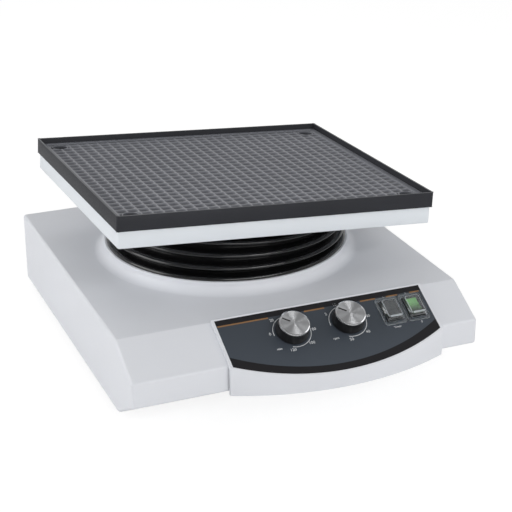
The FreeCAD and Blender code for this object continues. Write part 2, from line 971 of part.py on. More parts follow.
def make_rim_frame():
    """The black rim: a thin upright wall with a ledge under the mat's edge."""
    rim = rounded_block(leaning, platform_width, platform_depth, deck_rise, rim_top, rim_corner)
    inside = block(leaning, platform_width - 2 * rim_wall, platform_depth - 2 * rim_wall,
                   deck_rise + rim_ledge_thickness, rim_top)
    ledge = 2 * (rim_wall + rim_ledge)
    through = block(leaning, platform_width - ledge, platform_depth - ledge, deck_rise, rim_top)
    return rim.cut([inside, through])


def zigzag(length, pitch):
    """(place, height) points of a row of V-shaped valleys between two flat borders."""
    count = int((length - 2 * mat_border) / pitch)
    start = -count * pitch / 2
    points = [(-length / 2, mat_thickness)]
    for i in range(count):
        points.append((start + i * pitch, mat_thickness))
        points.append((start + (i + 0.5) * pitch, mat_thickness - mat_pocket_depth))
    points += [(start + count * pitch, mat_thickness), (length / 2, mat_thickness)]
    return points + [(length / 2, 0), (-length / 2, 0)]


def make_ribbed_mat():
    """A rubber mat whose crossing ribs leave a grid of pockets, with a hole near each corner."""
    width = platform_width - 2 * (rim_wall + mat_clearance)
    depth = platform_depth - 2 * (rim_wall + mat_clearance)
    along = outline(*[vec(x, -depth / 2, z) for x, z in zigzag(width, mat_pitch_x)])
    crosswise = outline(*[vec(-width / 2, y, z) for y, z in zigzag(depth, mat_pitch_y)])
    mat = along.extrude(vec(0, depth, 0)).fuse(crosswise.extrude(vec(width, 0, 0)))
    ledge = 2 * (rim_ledge + mat_clearance)
    rebate = block(FreeCAD.Placement(), width + overshoot, depth + overshoot, 0, rim_ledge_thickness)
    rebate = rebate.cut(block(FreeCAD.Placement(), width - ledge, depth - ledge, 0, rim_ledge_thickness))
    holes = [rod(moved_by(x, y, 0), mat_hole_radius, -overshoot, mat_thickness + overshoot)
             for x, y in insert_places()]
    screw_room = [rod(moved_by(x, y, 0), screw_head_radius + screw_clearance, -overshoot,
                      screw_head_height + screw_clearance) for x, y in hub_screw_places()]
    return placed(mat.cut([rebate] + holes + screw_room), leaning.multiply(moved_by(0, 0, deck_rise)))


def make_thread_inserts():
    """Flanged threaded bushes in the deck, below the mat's corner holes."""
    at_deck = leaning.multiply(moved_by(0, 0, deck_rise))
    return [
        turned(
            at_deck.multiply(moved_by(x, y, 0)),
            (insert_bore, -insert_length),
            (insert_radius, -insert_length),
            (insert_radius, 0),
            (insert_flange_radius, 0),
            (insert_flange_radius, insert_flange),
            (insert_bore, insert_flange),
        )
        for x, y in insert_places()
    ]


def bellows_frame(share, lift=0):
    """The frame of a ring at a share of the way between the lips: level below, leaning above."""
    low = vec(0, axis_y, collar_z + bellows_lip)
    high = leaning.multVec(vec(0, 0, deck_under - bellows_clearance - bellows_lip))
    lean = FreeCAD.Rotation(lean_axis, platform_tilt * share)
    return FreeCAD.Placement(low + (high - low) * share, lean).multiply(moved_by(0, 0, lift))


def bellows_rings():
    """(share of the height, outer radius) of each ring: four to a rib, drawn in towards the top."""
    step = 1 / (bellows_ribs + bellows_neck)
    slant = (1 - ridge_share - valley_share) / 2

    def ridge(share):
        return bellows_base_radius + (bellows_top_radius - bellows_base_radius) * share

    rings = [(0, ridge(0))]
    for i in range(bellows_ribs):
        for offset, fold in ((slant, bellows_fold), (slant + valley_share, bellows_fold),
                             (1 - ridge_share, 0), (1, 0)):
            share = (i + offset) * step
            rings.append((share, ridge(share) - fold))
    neck = (bellows_ribs + slant) * step
    return rings + [(neck, ridge(neck) - bellows_fold), (1, ridge(1) - bellows_fold)]


def ribbed_form(rings):
    """A ruled solid through the rings, which all start on the same side."""
    return Part.makeLoft([placed(Part.Wire(Part.makeCircle(r)), frame) for frame, r in rings], True, True)


def make_bellows():
    """A ribbed rubber sleeve with a bore: upright at the collar, leaning with the platform at the top."""
    rings = bellows_rings()
    ends = [(bellows_frame(0, -bellows_lip), rings[0][1])], [(bellows_frame(1, bellows_lip), rings[-1][1])]
    outer = ribbed_form(ends[0] + [(bellows_frame(s), r) for s, r in rings] + ends[1])
    inner = ribbed_form([(bellows_frame(s), r - bellows_wall) for s, r in rings])
    low_bore = rod(bellows_frame(0), collar_bore, -2 * bellows_lip, bellows_lip)
    high_bore = rod(bellows_frame(1), hub_spigot_radius + bellows_clearance, -bellows_lip, 2 * bellows_lip)
    return outer.cut([inner, low_bore, high_bore])


def make_lower_ring():
    """The clamp ring that holds the bellows' lower lip on the collar."""
    low = collar_z + bellows_lip
    return tube(upright, collar_bore, collar_bore + ring_width, low, low + ring_thickness)


def make_power_inlet():
    """An appliance inlet: rounded flange, body behind it and a socket with two cut corners."""
    frame = inlet_frame()
    flange = rounded_block(frame, inlet_flange_width, inlet_flange_height, 0, inlet_proud,
                           inlet_flange_corner)
    body = block(frame, inlet_body_width, inlet_body_height, -inlet_body_depth, 0)
    half_width = inlet_socket_width / 2
    half_height = inlet_socket_height / 2
    floor = inlet_proud - inlet_socket_depth
    cut = inlet_socket_chamfer
    socket = outline(
        vec(-half_width, half_height, floor),
        vec(-half_width, -half_height + cut, floor),
        vec(-half_width + cut, -half_height, floor),
        vec(half_width - cut, -half_height, floor),
        vec(half_width, -half_height + cut, floor),
        vec(half_width, half_height, floor),
    ).extrude(vec(0, 0, inlet_socket_depth))
    holes = [rod(frame.multiply(moved_by(x, z, 0)), inlet_screw_head, -overshoot, inlet_proud + overshoot)
             for x, z in inlet_screw_places()]
    return flange.fuse(body).cut([placed(socket, frame)] + holes).removeSplitter()


def make_inlet_pins():
    """Three flat pins: two in a row and the earth pin offset in the middle."""
    floor = inlet_proud - inlet_socket_depth
    half = inlet_pin_spacing / 2
    offset = inlet_earth_offset / 2
    places = [(-half, offset), (half, offset), (0, -offset)]
    return [block(inlet_frame().multiply(moved_by(x, z, 0)), inlet_pin_width, inlet_pin_height, floor,
                  floor + inlet_pin_length) for x, z in places]


def make_inlet_screws():
    return [
        turned(
            inlet_frame().multiply(moved_by(x, z, 0)),
            (0, -housing_wall - thread_length / 2),
            (inlet_screw_radius, -housing_wall - thread_length / 2),
            (inlet_screw_radius, 0),
            (inlet_screw_head, 0),
            (inlet_screw_head, inlet_proud),
            (0, inlet_proud),
        )
        for x, z in inlet_screw_places()
    ]


def make_power_supply():
    frame = moved_by(supply_x, back_y - supply_setback, 0)
    return rounded_block(frame, supply_width, supply_depth, plate_z, plate_z + supply_height, supply_round)


def board_frame():
    return moved_by(board_x, front_y + board_setback, plate_z)


def standoff_places():
    return at_corners(board_width / 2 - standoff_inset, board_depth / 2 - standoff_inset)


def make_control_board():
    top = standoff_height + board_thickness
    board = block(board_frame(), board_width, board_depth, standoff_height, top)
    holes = [rod(board_frame().multiply(moved_by(x, y, 0)), screw_radius, 0, 2 * standoff_height)
             for x, y in standoff_places()]
    return board.cut(holes)


def make_board_standoffs():
    return [rod(board_frame().multiply(moved_by(x, y, 0)), standoff_radius, 0, standoff_height)
            for x, y in standoff_places()]


def all_pieces():
    """Every node's name with its solids."""
    timer_at, speed_at = knob_places()
    timer_switch_at, power_switch_at = switch_places()
    lower, upper = [bearing_rings(upright, shaft_radius, bearing_outside, bearing_width, level)
                    for level in shaft_bearing_levels()]
    tilt = bearing_rings(leaning, tilt_bearing_bore, tilt_bearing_outside, tilt_bearing_width,
                         -tilt_bearing_width / 2)
    motor_at = moved_by(motor_x, motor_y, 0)
    return {
        "housing_shell": make_housing_shell(),
        "base_plate": make_base_plate(),
        "base_screws": make_base_screws(),
        "rubber_feet": make_rubber_feet(),
        "foot_screws": make_foot_screws(),
        "console_bezel": make_console_bezel(),
        "panel_foil": make_panel_foil(),
        "timer_potentiometer": make_potentiometer(timer_at),
        "speed_potentiometer": make_potentiometer(speed_at),
        "potentiometer_nuts": [make_potentiometer_nut(f) for f in knob_places()],
        "timer_knob_shaft": make_knob_shaft(timer_at),
        "timer_knob_skirt": make_knob_skirt(timer_at),
        "timer_knob_face": make_knob_face(timer_at, timer_pointer_angle),
        "speed_knob_shaft": make_knob_shaft(speed_at),
        "speed_knob_skirt": make_knob_skirt(speed_at),
        "speed_knob_face": make_knob_face(speed_at, speed_pointer_angle),
        "timer_switch_body": make_switch_body(timer_switch_at),
        "timer_rocker": make_rocker(timer_switch_at, -rocker_tip),
        "timer_switch_cap": make_switch_cap(timer_switch_at),
        "power_switch_body": make_switch_body(power_switch_at),
        "power_rocker": make_rocker(power_switch_at, -rocker_tip),
        "power_switch_cap": make_switch_cap(power_switch_at),
        "bearing_block": make_bearing_block(),
        "block_screws": make_block_screws(),
        "lower_bearing_inner": lower[0],
        "lower_bearing_outer": lower[1],
        "upper_bearing_inner": upper[0],
        "upper_bearing_outer": upper[1],
        "drive_shaft": make_drive_shaft(),
        "driven_pulley": make_pulley(upright, driven_pulley_radius, shaft_radius),
        "drive_belt": make_drive_belt(),
        "motor_pulley": make_pulley(motor_at, motor_pulley_radius, motor_shaft_radius),
        "motor_shaft": make_motor_shaft(),
        "motor": make_motor(),
        "motor_bracket": make_motor_bracket(),
        "bracket_screws": make_bracket_screws(),
        "tilt_bearing_inner": tilt[0],
        "tilt_bearing_outer": tilt[1],
        "journal_washer": make_journal_washer(),
        "journal_screw": make_journal_screw(),
        "platform_hub": make_platform_hub(),
        "hub_screws": make_hub_screws(),
        "platform_tray": make_platform_tray(),
        "thread_inserts": make_thread_inserts(),
        "rim_frame": make_rim_frame(),
        "ribbed_mat": make_ribbed_mat(),
        "bellows": make_bellows(),
        "lower_bellows_ring": make_lower_ring(),
        "power_inlet": make_power_inlet(),
        "inlet_pins": make_inlet_pins(),
        "inlet_screws": make_inlet_screws(),
        "power_supply": make_power_supply(),
        "control_board": make_control_board(),
        "board_standoffs": make_board_standoffs(),
    }


def solids_of(made):
    shapes = made if isinstance(made, list) else [made]
    return [solid for shape in shapes for solid in shape.Solids]


os.makedirs("parts", exist_ok=True)
for node, made in all_pieces().items():
    solids = solids_of(made)
    whole = solids[0] if len(solids) == 1 else Part.makeCompound(solids)
    whole.exportStep(os.path.join("parts", node + ".step"))
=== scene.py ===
import json
import math
from contextlib import contextmanager

import bmesh
import bpy
from bpy.props import FloatProperty, FloatVectorProperty, IntProperty, PointerProperty
from mathutils import Matrix, Vector

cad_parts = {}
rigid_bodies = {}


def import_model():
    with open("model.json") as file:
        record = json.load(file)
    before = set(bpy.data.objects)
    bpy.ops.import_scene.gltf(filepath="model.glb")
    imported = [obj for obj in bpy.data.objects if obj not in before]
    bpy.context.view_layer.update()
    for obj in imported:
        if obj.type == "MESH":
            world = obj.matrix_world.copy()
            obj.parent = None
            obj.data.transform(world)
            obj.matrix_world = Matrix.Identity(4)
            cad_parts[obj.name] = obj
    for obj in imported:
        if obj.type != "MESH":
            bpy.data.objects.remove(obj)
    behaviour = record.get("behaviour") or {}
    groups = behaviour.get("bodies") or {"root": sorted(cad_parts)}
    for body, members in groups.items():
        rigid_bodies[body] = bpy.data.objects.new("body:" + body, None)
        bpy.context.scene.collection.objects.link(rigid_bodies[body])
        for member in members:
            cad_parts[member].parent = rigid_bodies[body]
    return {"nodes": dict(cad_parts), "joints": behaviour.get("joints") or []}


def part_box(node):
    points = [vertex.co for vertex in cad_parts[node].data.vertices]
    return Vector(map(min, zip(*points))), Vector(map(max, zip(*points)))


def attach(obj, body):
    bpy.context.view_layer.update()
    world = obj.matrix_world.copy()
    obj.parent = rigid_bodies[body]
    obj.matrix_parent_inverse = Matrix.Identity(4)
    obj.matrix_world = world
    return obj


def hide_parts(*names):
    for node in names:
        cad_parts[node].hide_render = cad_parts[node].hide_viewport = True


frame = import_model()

bl_info = {
    "name": "Tilting platform shaker",
    "version": (1, 0, 0),
    "blender": (4, 5, 0),
    "location": "View3D > Sidebar > Shaker",
    "description": "Dresses a tilting laboratory shaker: housing, console, bellows, tray, rim and mat",
    "category": "Object",
}

MM = 0.001
UP = Vector((0, 0, 1))
START_OBJECTS = ("Cube", "Light", "Camera")
UNDOABLE = {"REGISTER", "UNDO"}
# Size of the faint clouds in every grained finish, in millimetres
CLOUD = 45
# Width of the camera's sensor, in millimetres
SENSOR = 36

for leftover in [o for o in bpy.data.objects if o.name in START_OBJECTS]:
    bpy.data.objects.remove(leftover)
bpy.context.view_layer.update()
JOINTS = {j["name"]: j for j in frame["joints"]}


def linear(hexcode):
    """An sRGB hex colour as linear red, green and blue."""
    shares = [int(hexcode[i:i + 2], 16) / 255 for i in (1, 3, 5)]
    return [s / 12.92 if s <= 0.04045 else ((s + 0.055) / 1.055) ** 2.4 for s in shares]


def number(name, value, description, **kind):
    return FloatProperty(name=name, description=description, default=value, **kind)


def whole(name, value, description):
    return IntProperty(name=name, description=description, default=value)


def length(name, millimetres, description):
    return number(name, millimetres * MM, description, unit="LENGTH", precision=5)


def angle(name, degrees, description):
    return number(name, math.radians(degrees), description, subtype="ANGLE")


def power(name, watts, description):
    return number(name, watts, description, unit="POWER")


def colour(name, hexcode, description):
    return FloatVectorProperty(name=name, description=description, default=linear(hexcode), size=3,
                               subtype="COLOR", min=0, max=1)


class ShakerFinish(bpy.types.PropertyGroup):
    """Colours of the finishes."""
    housing: colour("Housing", "#E1E3E8", "Moulded housing and console")
    tray: colour("Tray", "#E2E7EC", "Powder coat of the tray")
    slate: colour("Foil", "#434A53", "Printed ground of the control foil")
    band: colour("Band", "#1C1B1E", "Darker bands of the control foil")
    line: colour("Line", "#916B45", "Coloured line below the upper band")
    ink: colour("Ink", "#E8EAEC", "Scales, numbers and marks")
    rim: colour("Rim", "#2E2F34", "Moulded rim of the platform")
    # Painted highlight along the rim's top edge
    rim_highlight: colour("Rim top", "#5A5C61", "Rubbed upper edge of the rim")
    # Mat's colour on the rib tops; painted shade darkens it in the pockets
    mat: colour("Mat", "#7C7E85", "Rubber of the waffle mat")
    bellows: colour("Bellows", "#0E0E0F", "Rubber of the bellows")
    knob: colour("Knob skirt", "#161617", "Plastic of the knobs")
    lens: colour("Lit rocker", "#6FA463", "Translucent rocker of the power switch")


class ShakerPlatform(bpy.types.PropertyGroup):
    """Sizes of tray, rim and mat, along and square to the leaning deck."""
    width: length("Width", 297, "Rim's outside, left to right")
    depth: length("Depth", 260, "Rim's outside, front to back")
    deck_rise: length("Deck rise", 36.9, "Deck above the point where the two axes cross")
    tray_height: length("Tray height", 15.4, "Height of the folded tray")
    tray_inset: length("Tray inset", 1.8, "How far the tray stays inside the rim")
    tray_sheet: length("Tray sheet", 2, "Thickness of the tray")
    tray_edge: length("Tray edge", 0.7, "Rounding of the folded edges")
    rim_height: length("Rim height", 13.9, "Height of the rim above the deck")
    rim_wall: length("Rim wall", 2, "Thickness of the rim's wall")
    rim_ledge: length("Rim ledge", 8, "Ledge under the mat's edge")
    ledge_sheet: length("Ledge thickness", 1.5, "Thickness of the ledge")
    rim_corner: length("Rim corner", 2.5, "Rounding of the upright corners")
    rim_edge: length("Rim edge", 0.5, "Rounding of the rim's long edges")
    mat_clearance: length("Mat clearance", 0.3, "Gap between mat and rim")
    mat_thickness: length("Mat thickness", 8.6, "Deck to the top of the ribs")
    pitch_x: length("Pitch across", 10.06, "Rib spacing from left to right")
    pitch_y: length("Pitch along", 9.64, "Rib spacing from front to back")
    columns: whole("Columns", 28, "Pockets from left to right")
    rows: whole("Rows", 26, "Pockets from front to back")
    hole_radius: length("Corner hole", 7, "Radius of the hole near each corner")
    hole_inset: length("Hole inset", 18, "Hole's middle from the rim's outside")


class ShakerBellows(bpy.types.PropertyGroup):
    """Sizes of the ribbed bellows."""
    ribs: whole("Ribs", 4, "Number of full ribs")
    steps: whole("Rings per rib", 14, "Rings that shape one rib")
    segments: whole("Segments", 192, "Points round a ring")
    base_radius: length("Base radius", 113.3, "Radius of the lower lip")
    top_radius: length("Top radius", 103, "Radius that the ridges are drawn in to")
    fold: length("Fold", 8, "Depth of the valleys")
    lip: length("Lip", 2, "Thickness of the lips")
    clearance: length("Clearance", 0.3, "Gap below the deck")
    bore: length("Upper bore", 84.8, "Bore of the upper lip")


class ShakerPanel(bpy.types.PropertyGroup):
    """Sizes on the sloping control panel, with distances taken down the slope."""
    knob_down: length("Knobs down", 25.8, "Knobs' middle down the slope")
    switch_down: length("Switches down", 24, "Switches' middle down the slope")
    knob_radius: length("Knob radius", 14.6, "Skirt's radius at its foot")
    knob_top: length("Knob top radius", 13.6, "Skirt's radius at the face")
    knob_height: length("Knob height", 11.5, "Foot of the skirt to the face")
    knob_gap: length("Knob gap", 0.5, "Gap between skirt and foil")
    face_sheet: length("Face thickness", 1.4, "Thickness of the metal face")
    scale_radius: length("Scale radius", 16.7, "Radius of the printed scale")
    label_radius: length("Label radius", 19.8, "Radius of the numbers' middles")
    print_sheet: length("Print thickness", 0.06, "Thickness of a printed layer")
    stroke: length("Stroke", 0.5, "Width of the printed scale")
    letter: length("Letter size", 3.9, "Size of the printed numbers")
    line_down: length("Line down", 7.9, "Coloured line's middle down the slope")
    line_width: length("Line width", 1.4, "Width of the coloured line")
    band_width: length("Band width", 7, "Width of the lower band in its middle")
    band_bow: length("Band bow", 26.6, "How far the lower band's upper edge rises to its ends")
    foil_top: length("Foil top", 1.5, "Upper end of the foil, down the slope")
    foil_left: length("Foil left", -73, "Left end of the foil")
    foil_right: length("Foil right", 121, "Right end of the foil")
    foil_nose: length("Foil nose", 73.9, "Front end of the foil, down the slope")
    foil_end: length("Foil end", 50.5, "Front corners of the foil, down the slope")
    cap_width: length("Cap width", 21.2, "Flange of the splash cap, across")
    cap_length: length("Cap length", 29, "Flange of the splash cap, down the slope")
    cap_height: length("Cap height", 5.8, "Height of the splash cap")
    hood_width: length("Hood width", 17.1, "Hood of the splash cap, across")
    hood_length: length("Hood length", 23.1, "Hood of the splash cap, down the slope")
    hood_taper: length("Hood taper", 2.0, "How far the hood draws in on each side")
    hood_shift: length("Hood shift", 0.5, "How far the hood's top lies down the slope from its foot")
    cap_wall: length("Cap wall", 1, "Thickness of the splash cap")


class ShakerStage(bpy.types.PropertyGroup):
    """Camera, lights and surroundings."""
    azimuth: angle("Azimuth", -22.187, "Camera's turn round the object")
    elevation: angle("Elevation", 23.043, "Camera's height above the horizon")
    roll: angle("Roll", -0.287, "Camera's turn about its own axis")
    distance: length("Distance", 1404.1, "Camera to its target")
    target: FloatVectorProperty(name="Target", description="Point in the middle of the picture", size=3,
                                default=(0.020889, 0.011861, 0.068), subtype="TRANSLATION", precision=6)
    focal: number("Focal length", 104.25, "For a sensor 36 mm wide", unit="CAMERA")
    key: power("Key light", 11.5, "Large soft light on the left")
    rear: power("Rear light", 3, "Soft light high behind the object")
    right: power("Right light", 2.4, "Soft light on the right")
    strip: power("Strip light", 6, "Narrow light in front")
    fill: power("Fill light", 9, "Low broad light in front")
    front_sky: number("Front", 0.35, "Strength of the surroundings on the viewer's side")
    back_sky: number("Back", 0.75, "Strength of the surroundings behind the object")
    overhead: number("Overhead", 0.6, "Share of that strength left straight above", subtype="FACTOR",
                     min=0, max=1)


def settings(name):
    return getattr(bpy.context.scene, "shaker_" + name)


def frame_of(joint):
    """The frame at a joint, with Z along its axis and the least turn from upright."""
    turn = UP.rotation_difference(Vector(JOINTS[joint]["axis"]))
    return Matrix.Translation(Vector(JOINTS[joint]["pos_m"])) @ turn.to_matrix().to_4x4()


def panel_frame():
    """On the foil's face at x = 0 and the top of the slope, with Y up the slope and Z out of it."""
    at_knob = frame_of("timer_turn")
    at_knob.translation.x = 0
    return at_knob @ Matrix.Translation((0, settings("panel").knob_down, 0))


def add_node(tree, kind, inputs=None, **values):
    """Adds a node with its settings; an input is a value or the socket that feeds it."""
    made = tree.nodes.new(kind)
    for key, value in values.items():
        setattr(made, key, value)
    for key, value in (inputs or {}).items():
        if isinstance(value, bpy.types.NodeSocket):
            tree.links.new(value, made.inputs[key])
        else:
            made.inputs[key].default_value = value
    return made


def new_material(name):
    """An empty node material with its output, and the object's own coordinates."""
    material = bpy.data.materials.new(name)
    material.use_nodes = True
    tree = material.node_tree
    tree.nodes.clear()
    output = add_node(tree, "ShaderNodeOutputMaterial")
    place = add_node(tree, "ShaderNodeTexCoord").outputs["Object"]
    return material, tree, output, place


def per_metre(millimetres):
    """The texture scale whose features are about that size."""
    return 1 / (millimetres * MM)


def rgba(rgb):
    return (*rgb, 1.0)


def tinted(tree, rgb, share):
    """A colour darkened by a share between 0 and 1."""
    return add_node(tree, "ShaderNodeMix", {0: 1.0, 6: rgba(rgb), 7: share}, data_type="RGBA",
                    blend_type="MULTIPLY").outputs[2]


def height_along(tree, place, origin, direction):
    """How far a place lies from an origin along a direction."""
    away = add_node(tree, "ShaderNodeVectorMath", {0: place, 1: tuple(origin)}, operation="SUBTRACT")
    return add_node(tree, "ShaderNodeVectorMath", {0: away.outputs["Vector"], 1: tuple(direction)},
                    operation="DOT_PRODUCT").outputs["Value"]


def grained(name, rgb, roughness, grain, depth, metallic=0.0, shift=0.06, specular=0.5, spread=0.08,
            painted_pocket_shade=None):
    """A surface with a grain of that size and depth in millimetres, and slightly uneven colour and gloss.

    The grain is drawn coarser than the real one, which would be too fine to show.
    Painted pocket shade is (joint, level where the painted shade is darkest, level where the colour is full,
    darkest share): it darkens the colour towards the low level along the joint's axis.
    """
    material, tree, output, place = new_material(name)
    fine = add_node(tree, "ShaderNodeTexNoise", {"Vector": place, "Scale": per_metre(grain), "Detail": 3.0})
    cloud = add_node(tree, "ShaderNodeTexNoise", {"Vector": place, "Scale": per_metre(CLOUD), "Detail": 2.0})
    tone = add_node(tree, "ShaderNodeMapRange", {
        "Value": cloud.outputs["Fac"], "From Min": 0.3, "From Max": 0.7, "To Min": 1 - shift, "To Max": 1.0})
    # Painted shade: the colour darkens towards the low level along the joint's axis
    if painted_pocket_shade:
        joint, low, high, darkest = painted_pocket_shade
        height = height_along(tree, place, JOINTS[joint]["pos_m"], JOINTS[joint]["axis"])
        tone = add_node(tree, "ShaderNodeMapRange", {
            "Value": height, "From Min": low, "From Max": high, "To Min": darkest,
            "To Max": tone.outputs["Result"]})
    tint = tinted(tree, rgb, tone.outputs["Result"])
    gloss = add_node(tree, "ShaderNodeMapRange", {
        "Value": fine.outputs["Fac"], "From Min": 0.25, "From Max": 0.75,
        "To Min": max(roughness - spread, 0.03), "To Max": min(roughness + spread, 1.0)})
    bump = add_node(tree, "ShaderNodeBump", {
        "Strength": 0.5, "Distance": depth * MM, "Height": fine.outputs["Fac"]})
    shader = add_node(tree, "ShaderNodeBsdfPrincipled", {
        "Base Color": tint, "Roughness": gloss.outputs["Result"], "Metallic": metallic,
        "Specular IOR Level": specular, "Normal": bump.outputs["Normal"]})
    tree.links.new(shader.outputs["BSDF"], output.inputs["Surface"])
    return material


def spun_aluminium(name, joint):
    """Aluminium turned on a lathe: fine rings about the joint's axis draw the light out into radial fans.

    The rings are drawn coarser than the real ones, which would be too fine to show.
    """
    material, tree, output, place = new_material(name)
    axis = tuple(JOINTS[joint]["axis"])
    away = add_node(tree, "ShaderNodeVectorMath", {0: place, 1: tuple(JOINTS[joint]["pos_m"])},
                    operation="SUBTRACT")
    along = add_node(tree, "ShaderNodeVectorMath", {0: axis, 1: away.outputs["Vector"]},
                     operation="CROSS_PRODUCT")
    outwards = add_node(tree, "ShaderNodeVectorMath", {0: along.outputs["Vector"], 1: axis},
                        operation="CROSS_PRODUCT")
    spread = add_node(tree, "ShaderNodeVectorTransform", {"Vector": outwards.outputs["Vector"]},
                      vector_type="VECTOR", convert_from="OBJECT", convert_to="WORLD")
    distance = add_node(tree, "ShaderNodeVectorMath", {0: along.outputs["Vector"]}, operation="LENGTH")
    rings = add_node(tree, "ShaderNodeTexNoise", {
        "W": distance.outputs["Value"], "Scale": per_metre(0.5), "Detail": 4.0}, noise_dimensions="1D")
    gloss = add_node(tree, "ShaderNodeMapRange", {
        "Value": rings.outputs["Fac"], "From Min": 0.3, "From Max": 0.7, "To Min": 0.36, "To Max": 0.44})
    shader = add_node(tree, "ShaderNodeBsdfPrincipled", {
        "Base Color": rgba(linear("#D4D5D7")), "Metallic": 1.0, "Roughness": gloss.outputs["Result"],
        "Anisotropic": 1.0, "Tangent": spread.outputs["Vector"]})
    tree.links.new(shader.outputs["BSDF"], output.inputs["Surface"])
    return material


def edge_highlight_plastic(name):
    """Milky white polycarbonate on the caps' edges and lower bar: painted highlights where the clear caps
    catch the light.

    Its grit is drawn coarser than a real one, which would be too fine to show.
    """
    material, tree, output, place = new_material(name)
    fine = add_node(tree, "ShaderNodeTexNoise", {"Vector": place, "Scale": per_metre(0.7), "Detail": 2.0})
    gloss = add_node(tree, "ShaderNodeMapRange", {"Value": fine.outputs["Fac"], "To Min": 0.3, "To Max": 0.5})
    shader = add_node(tree, "ShaderNodeBsdfPrincipled", {
        "Base Color": rgba(linear("#DEE4E8")), "Roughness": gloss.outputs["Result"], "IOR": 1.5,
        "Transmission Weight": 0.55})
    tree.links.new(shader.outputs["BSDF"], output.inputs["Surface"])
    return material


def clear_plastic(name):
    """Clear polycarbonate: colourless, with a faint moulded ripple that catches light along its edges."""
    material, tree, output, place = new_material(name)
    ripple = add_node(tree, "ShaderNodeTexNoise", {"Vector": place, "Scale": per_metre(6), "Detail": 1.0})
    bump = add_node(tree, "ShaderNodeBump", {
        "Strength": 0.3, "Distance": 0.05 * MM, "Height": ripple.outputs["Fac"]})
    shader = add_node(tree, "ShaderNodeBsdfPrincipled", {
        "Base Color": rgba(linear("#F4F7F8")), "Roughness": 0.04, "IOR": 1.5, "Transmission Weight": 1.0,
        "Normal": bump.outputs["Normal"]})
    tree.links.new(shader.outputs["BSDF"], output.inputs["Surface"])
    return material


def lit_lens(name, rgb):
    """Green acrylic lit by the switch's lamp: glossy and aglow, with painted shade that darkens its colour
    and dims its glow towards the lower end.
    """
    material, tree, output, place = new_material(name)
    panel = panel_frame()
    middle = panel @ Vector((0, -settings("panel").switch_down, 0))
    height = height_along(tree, place, middle, panel.to_3x3() @ Vector((0, 1, 0)))
    # Heights up the slope from the switch's middle, between which the painted shade darkens the colour and
    # dims the glow
    darkest = -6 * MM
    unlit = -4 * MM
    brightest = 4 * MM
    painted_shade = add_node(tree, "ShaderNodeMapRange", {
        "Value": height, "From Min": darkest, "From Max": brightest, "To Min": 0.12, "To Max": 1.0})
    tint = tinted(tree, rgb, painted_shade.outputs["Result"])
    # Glow of the switch's lamp, faded out downwards with the painted shade
    glow = add_node(tree, "ShaderNodeMapRange", {
        "Value": height, "From Min": unlit, "From Max": brightest, "To Min": 0.0, "To Max": 0.1})
    shader = add_node(tree, "ShaderNodeBsdfPrincipled", {
        "Base Color": tint, "Roughness": 0.2, "Emission Color": rgba(rgb),
        "Emission Strength": glow.outputs["Result"]})
    tree.links.new(shader.outputs["BSDF"], output.inputs["Surface"])
    return material


def printed_foil(name, rgb):
    """Polyester foil printed from behind, under a fine satin embossing, with painted shade that darkens its
    tone up the slope.

    The embossing is drawn coarser than the real one, which would be too fine to show.
    """
    material, tree, output, place = new_material(name)
    low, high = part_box("panel_foil")
    fine = add_node(tree, "ShaderNodeTexNoise", {"Vector": place, "Scale": per_metre(0.9), "Detail": 2.0})
    height = add_node(tree, "ShaderNodeSeparateXYZ", {"Vector": place})
    # Painted shade: the colour darkens towards the foil's upper end
    painted_shade = add_node(tree, "ShaderNodeMapRange", {
        "Value": height.outputs["Z"], "From Min": low.z, "From Max": high.z, "To Min": 1.0, "To Max": 0.72})
    tint = tinted(tree, rgb, painted_shade.outputs["Result"])
    bump = add_node(tree, "ShaderNodeBump", {
        "Strength": 0.25, "Distance": 0.03 * MM, "Height": fine.outputs["Fac"]})
    shader = add_node(tree, "ShaderNodeBsdfPrincipled", {
        "Base Color": tint, "Roughness": 0.42, "Normal": bump.outputs["Normal"]})
    tree.links.new(shader.outputs["BSDF"], output.inputs["Surface"])
    return material


def only(obj):
    """Leaves object mode and selects one object."""
    if bpy.context.object and bpy.context.object.mode != "OBJECT":
        bpy.ops.object.mode_set(mode="OBJECT")
    bpy.ops.object.select_all(action="DESELECT")
    if obj:
        obj.select_set(True)
    bpy.context.view_layer.objects.active = obj


@contextmanager
def editing(obj):
    """Edit mode on one piece with nothing selected."""
    only(obj)
    bpy.ops.object.mode_set(mode="EDIT")
    bpy.ops.mesh.select_all(action="DESELECT")
    yield
    bpy.ops.object.mode_set(mode="OBJECT")


def pick(obj, kind, test):
    """Selects the faces, edges or vertices that pass a test on their middle and their direction."""
    bpy.ops.mesh.select_mode(type=kind)
    bpy.ops.mesh.select_all(action="DESELECT")
    mesh = bmesh.from_edit_mesh(obj.data)
    if kind == "FACE":
        found = [f for f in mesh.faces if test(f.calc_center_median(), f.normal)]
    elif kind == "EDGE":
        found = [e for e in mesh.edges
                 if test((e.verts[0].co + e.verts[1].co) / 2, (e.verts[1].co - e.verts[0].co).normalized())]
    else:
        found = [v for v in mesh.verts if test(v.co, v.normal)]
    if not found:
        raise RuntimeError(f"{obj.name}: nothing of kind {kind} passes the test")
    for item in found:
        item.select_set(True)
    mesh.select_flush_mode()
    bmesh.update_edit_mesh(obj.data)


def pick_open_edges():
    bpy.ops.mesh.select_mode(type="EDGE")
    bpy.ops.mesh.select_all(action="DESELECT")
    bpy.ops.mesh.select_non_manifold(extend=False, use_wire=False, use_multi_face=False,
                                     use_non_contiguous=False, use_verts=False)


def near(a, b):
    return abs(a - b) < 1e-5


def upright(middle, direction):
    """For edges that stand upright, and for faces that lie level."""
    return abs(direction.z) > 0.9


def faces_up(middle, normal):
    return normal.z > 0.9


def faces_down(middle, normal):
    return normal.z < -0.9


def level_at(*heights):
    """The test for edges that lie level at one of these heights."""
    return lambda middle, along: abs(along.z) < 0.1 and any(near(middle.z, height) for height in heights)


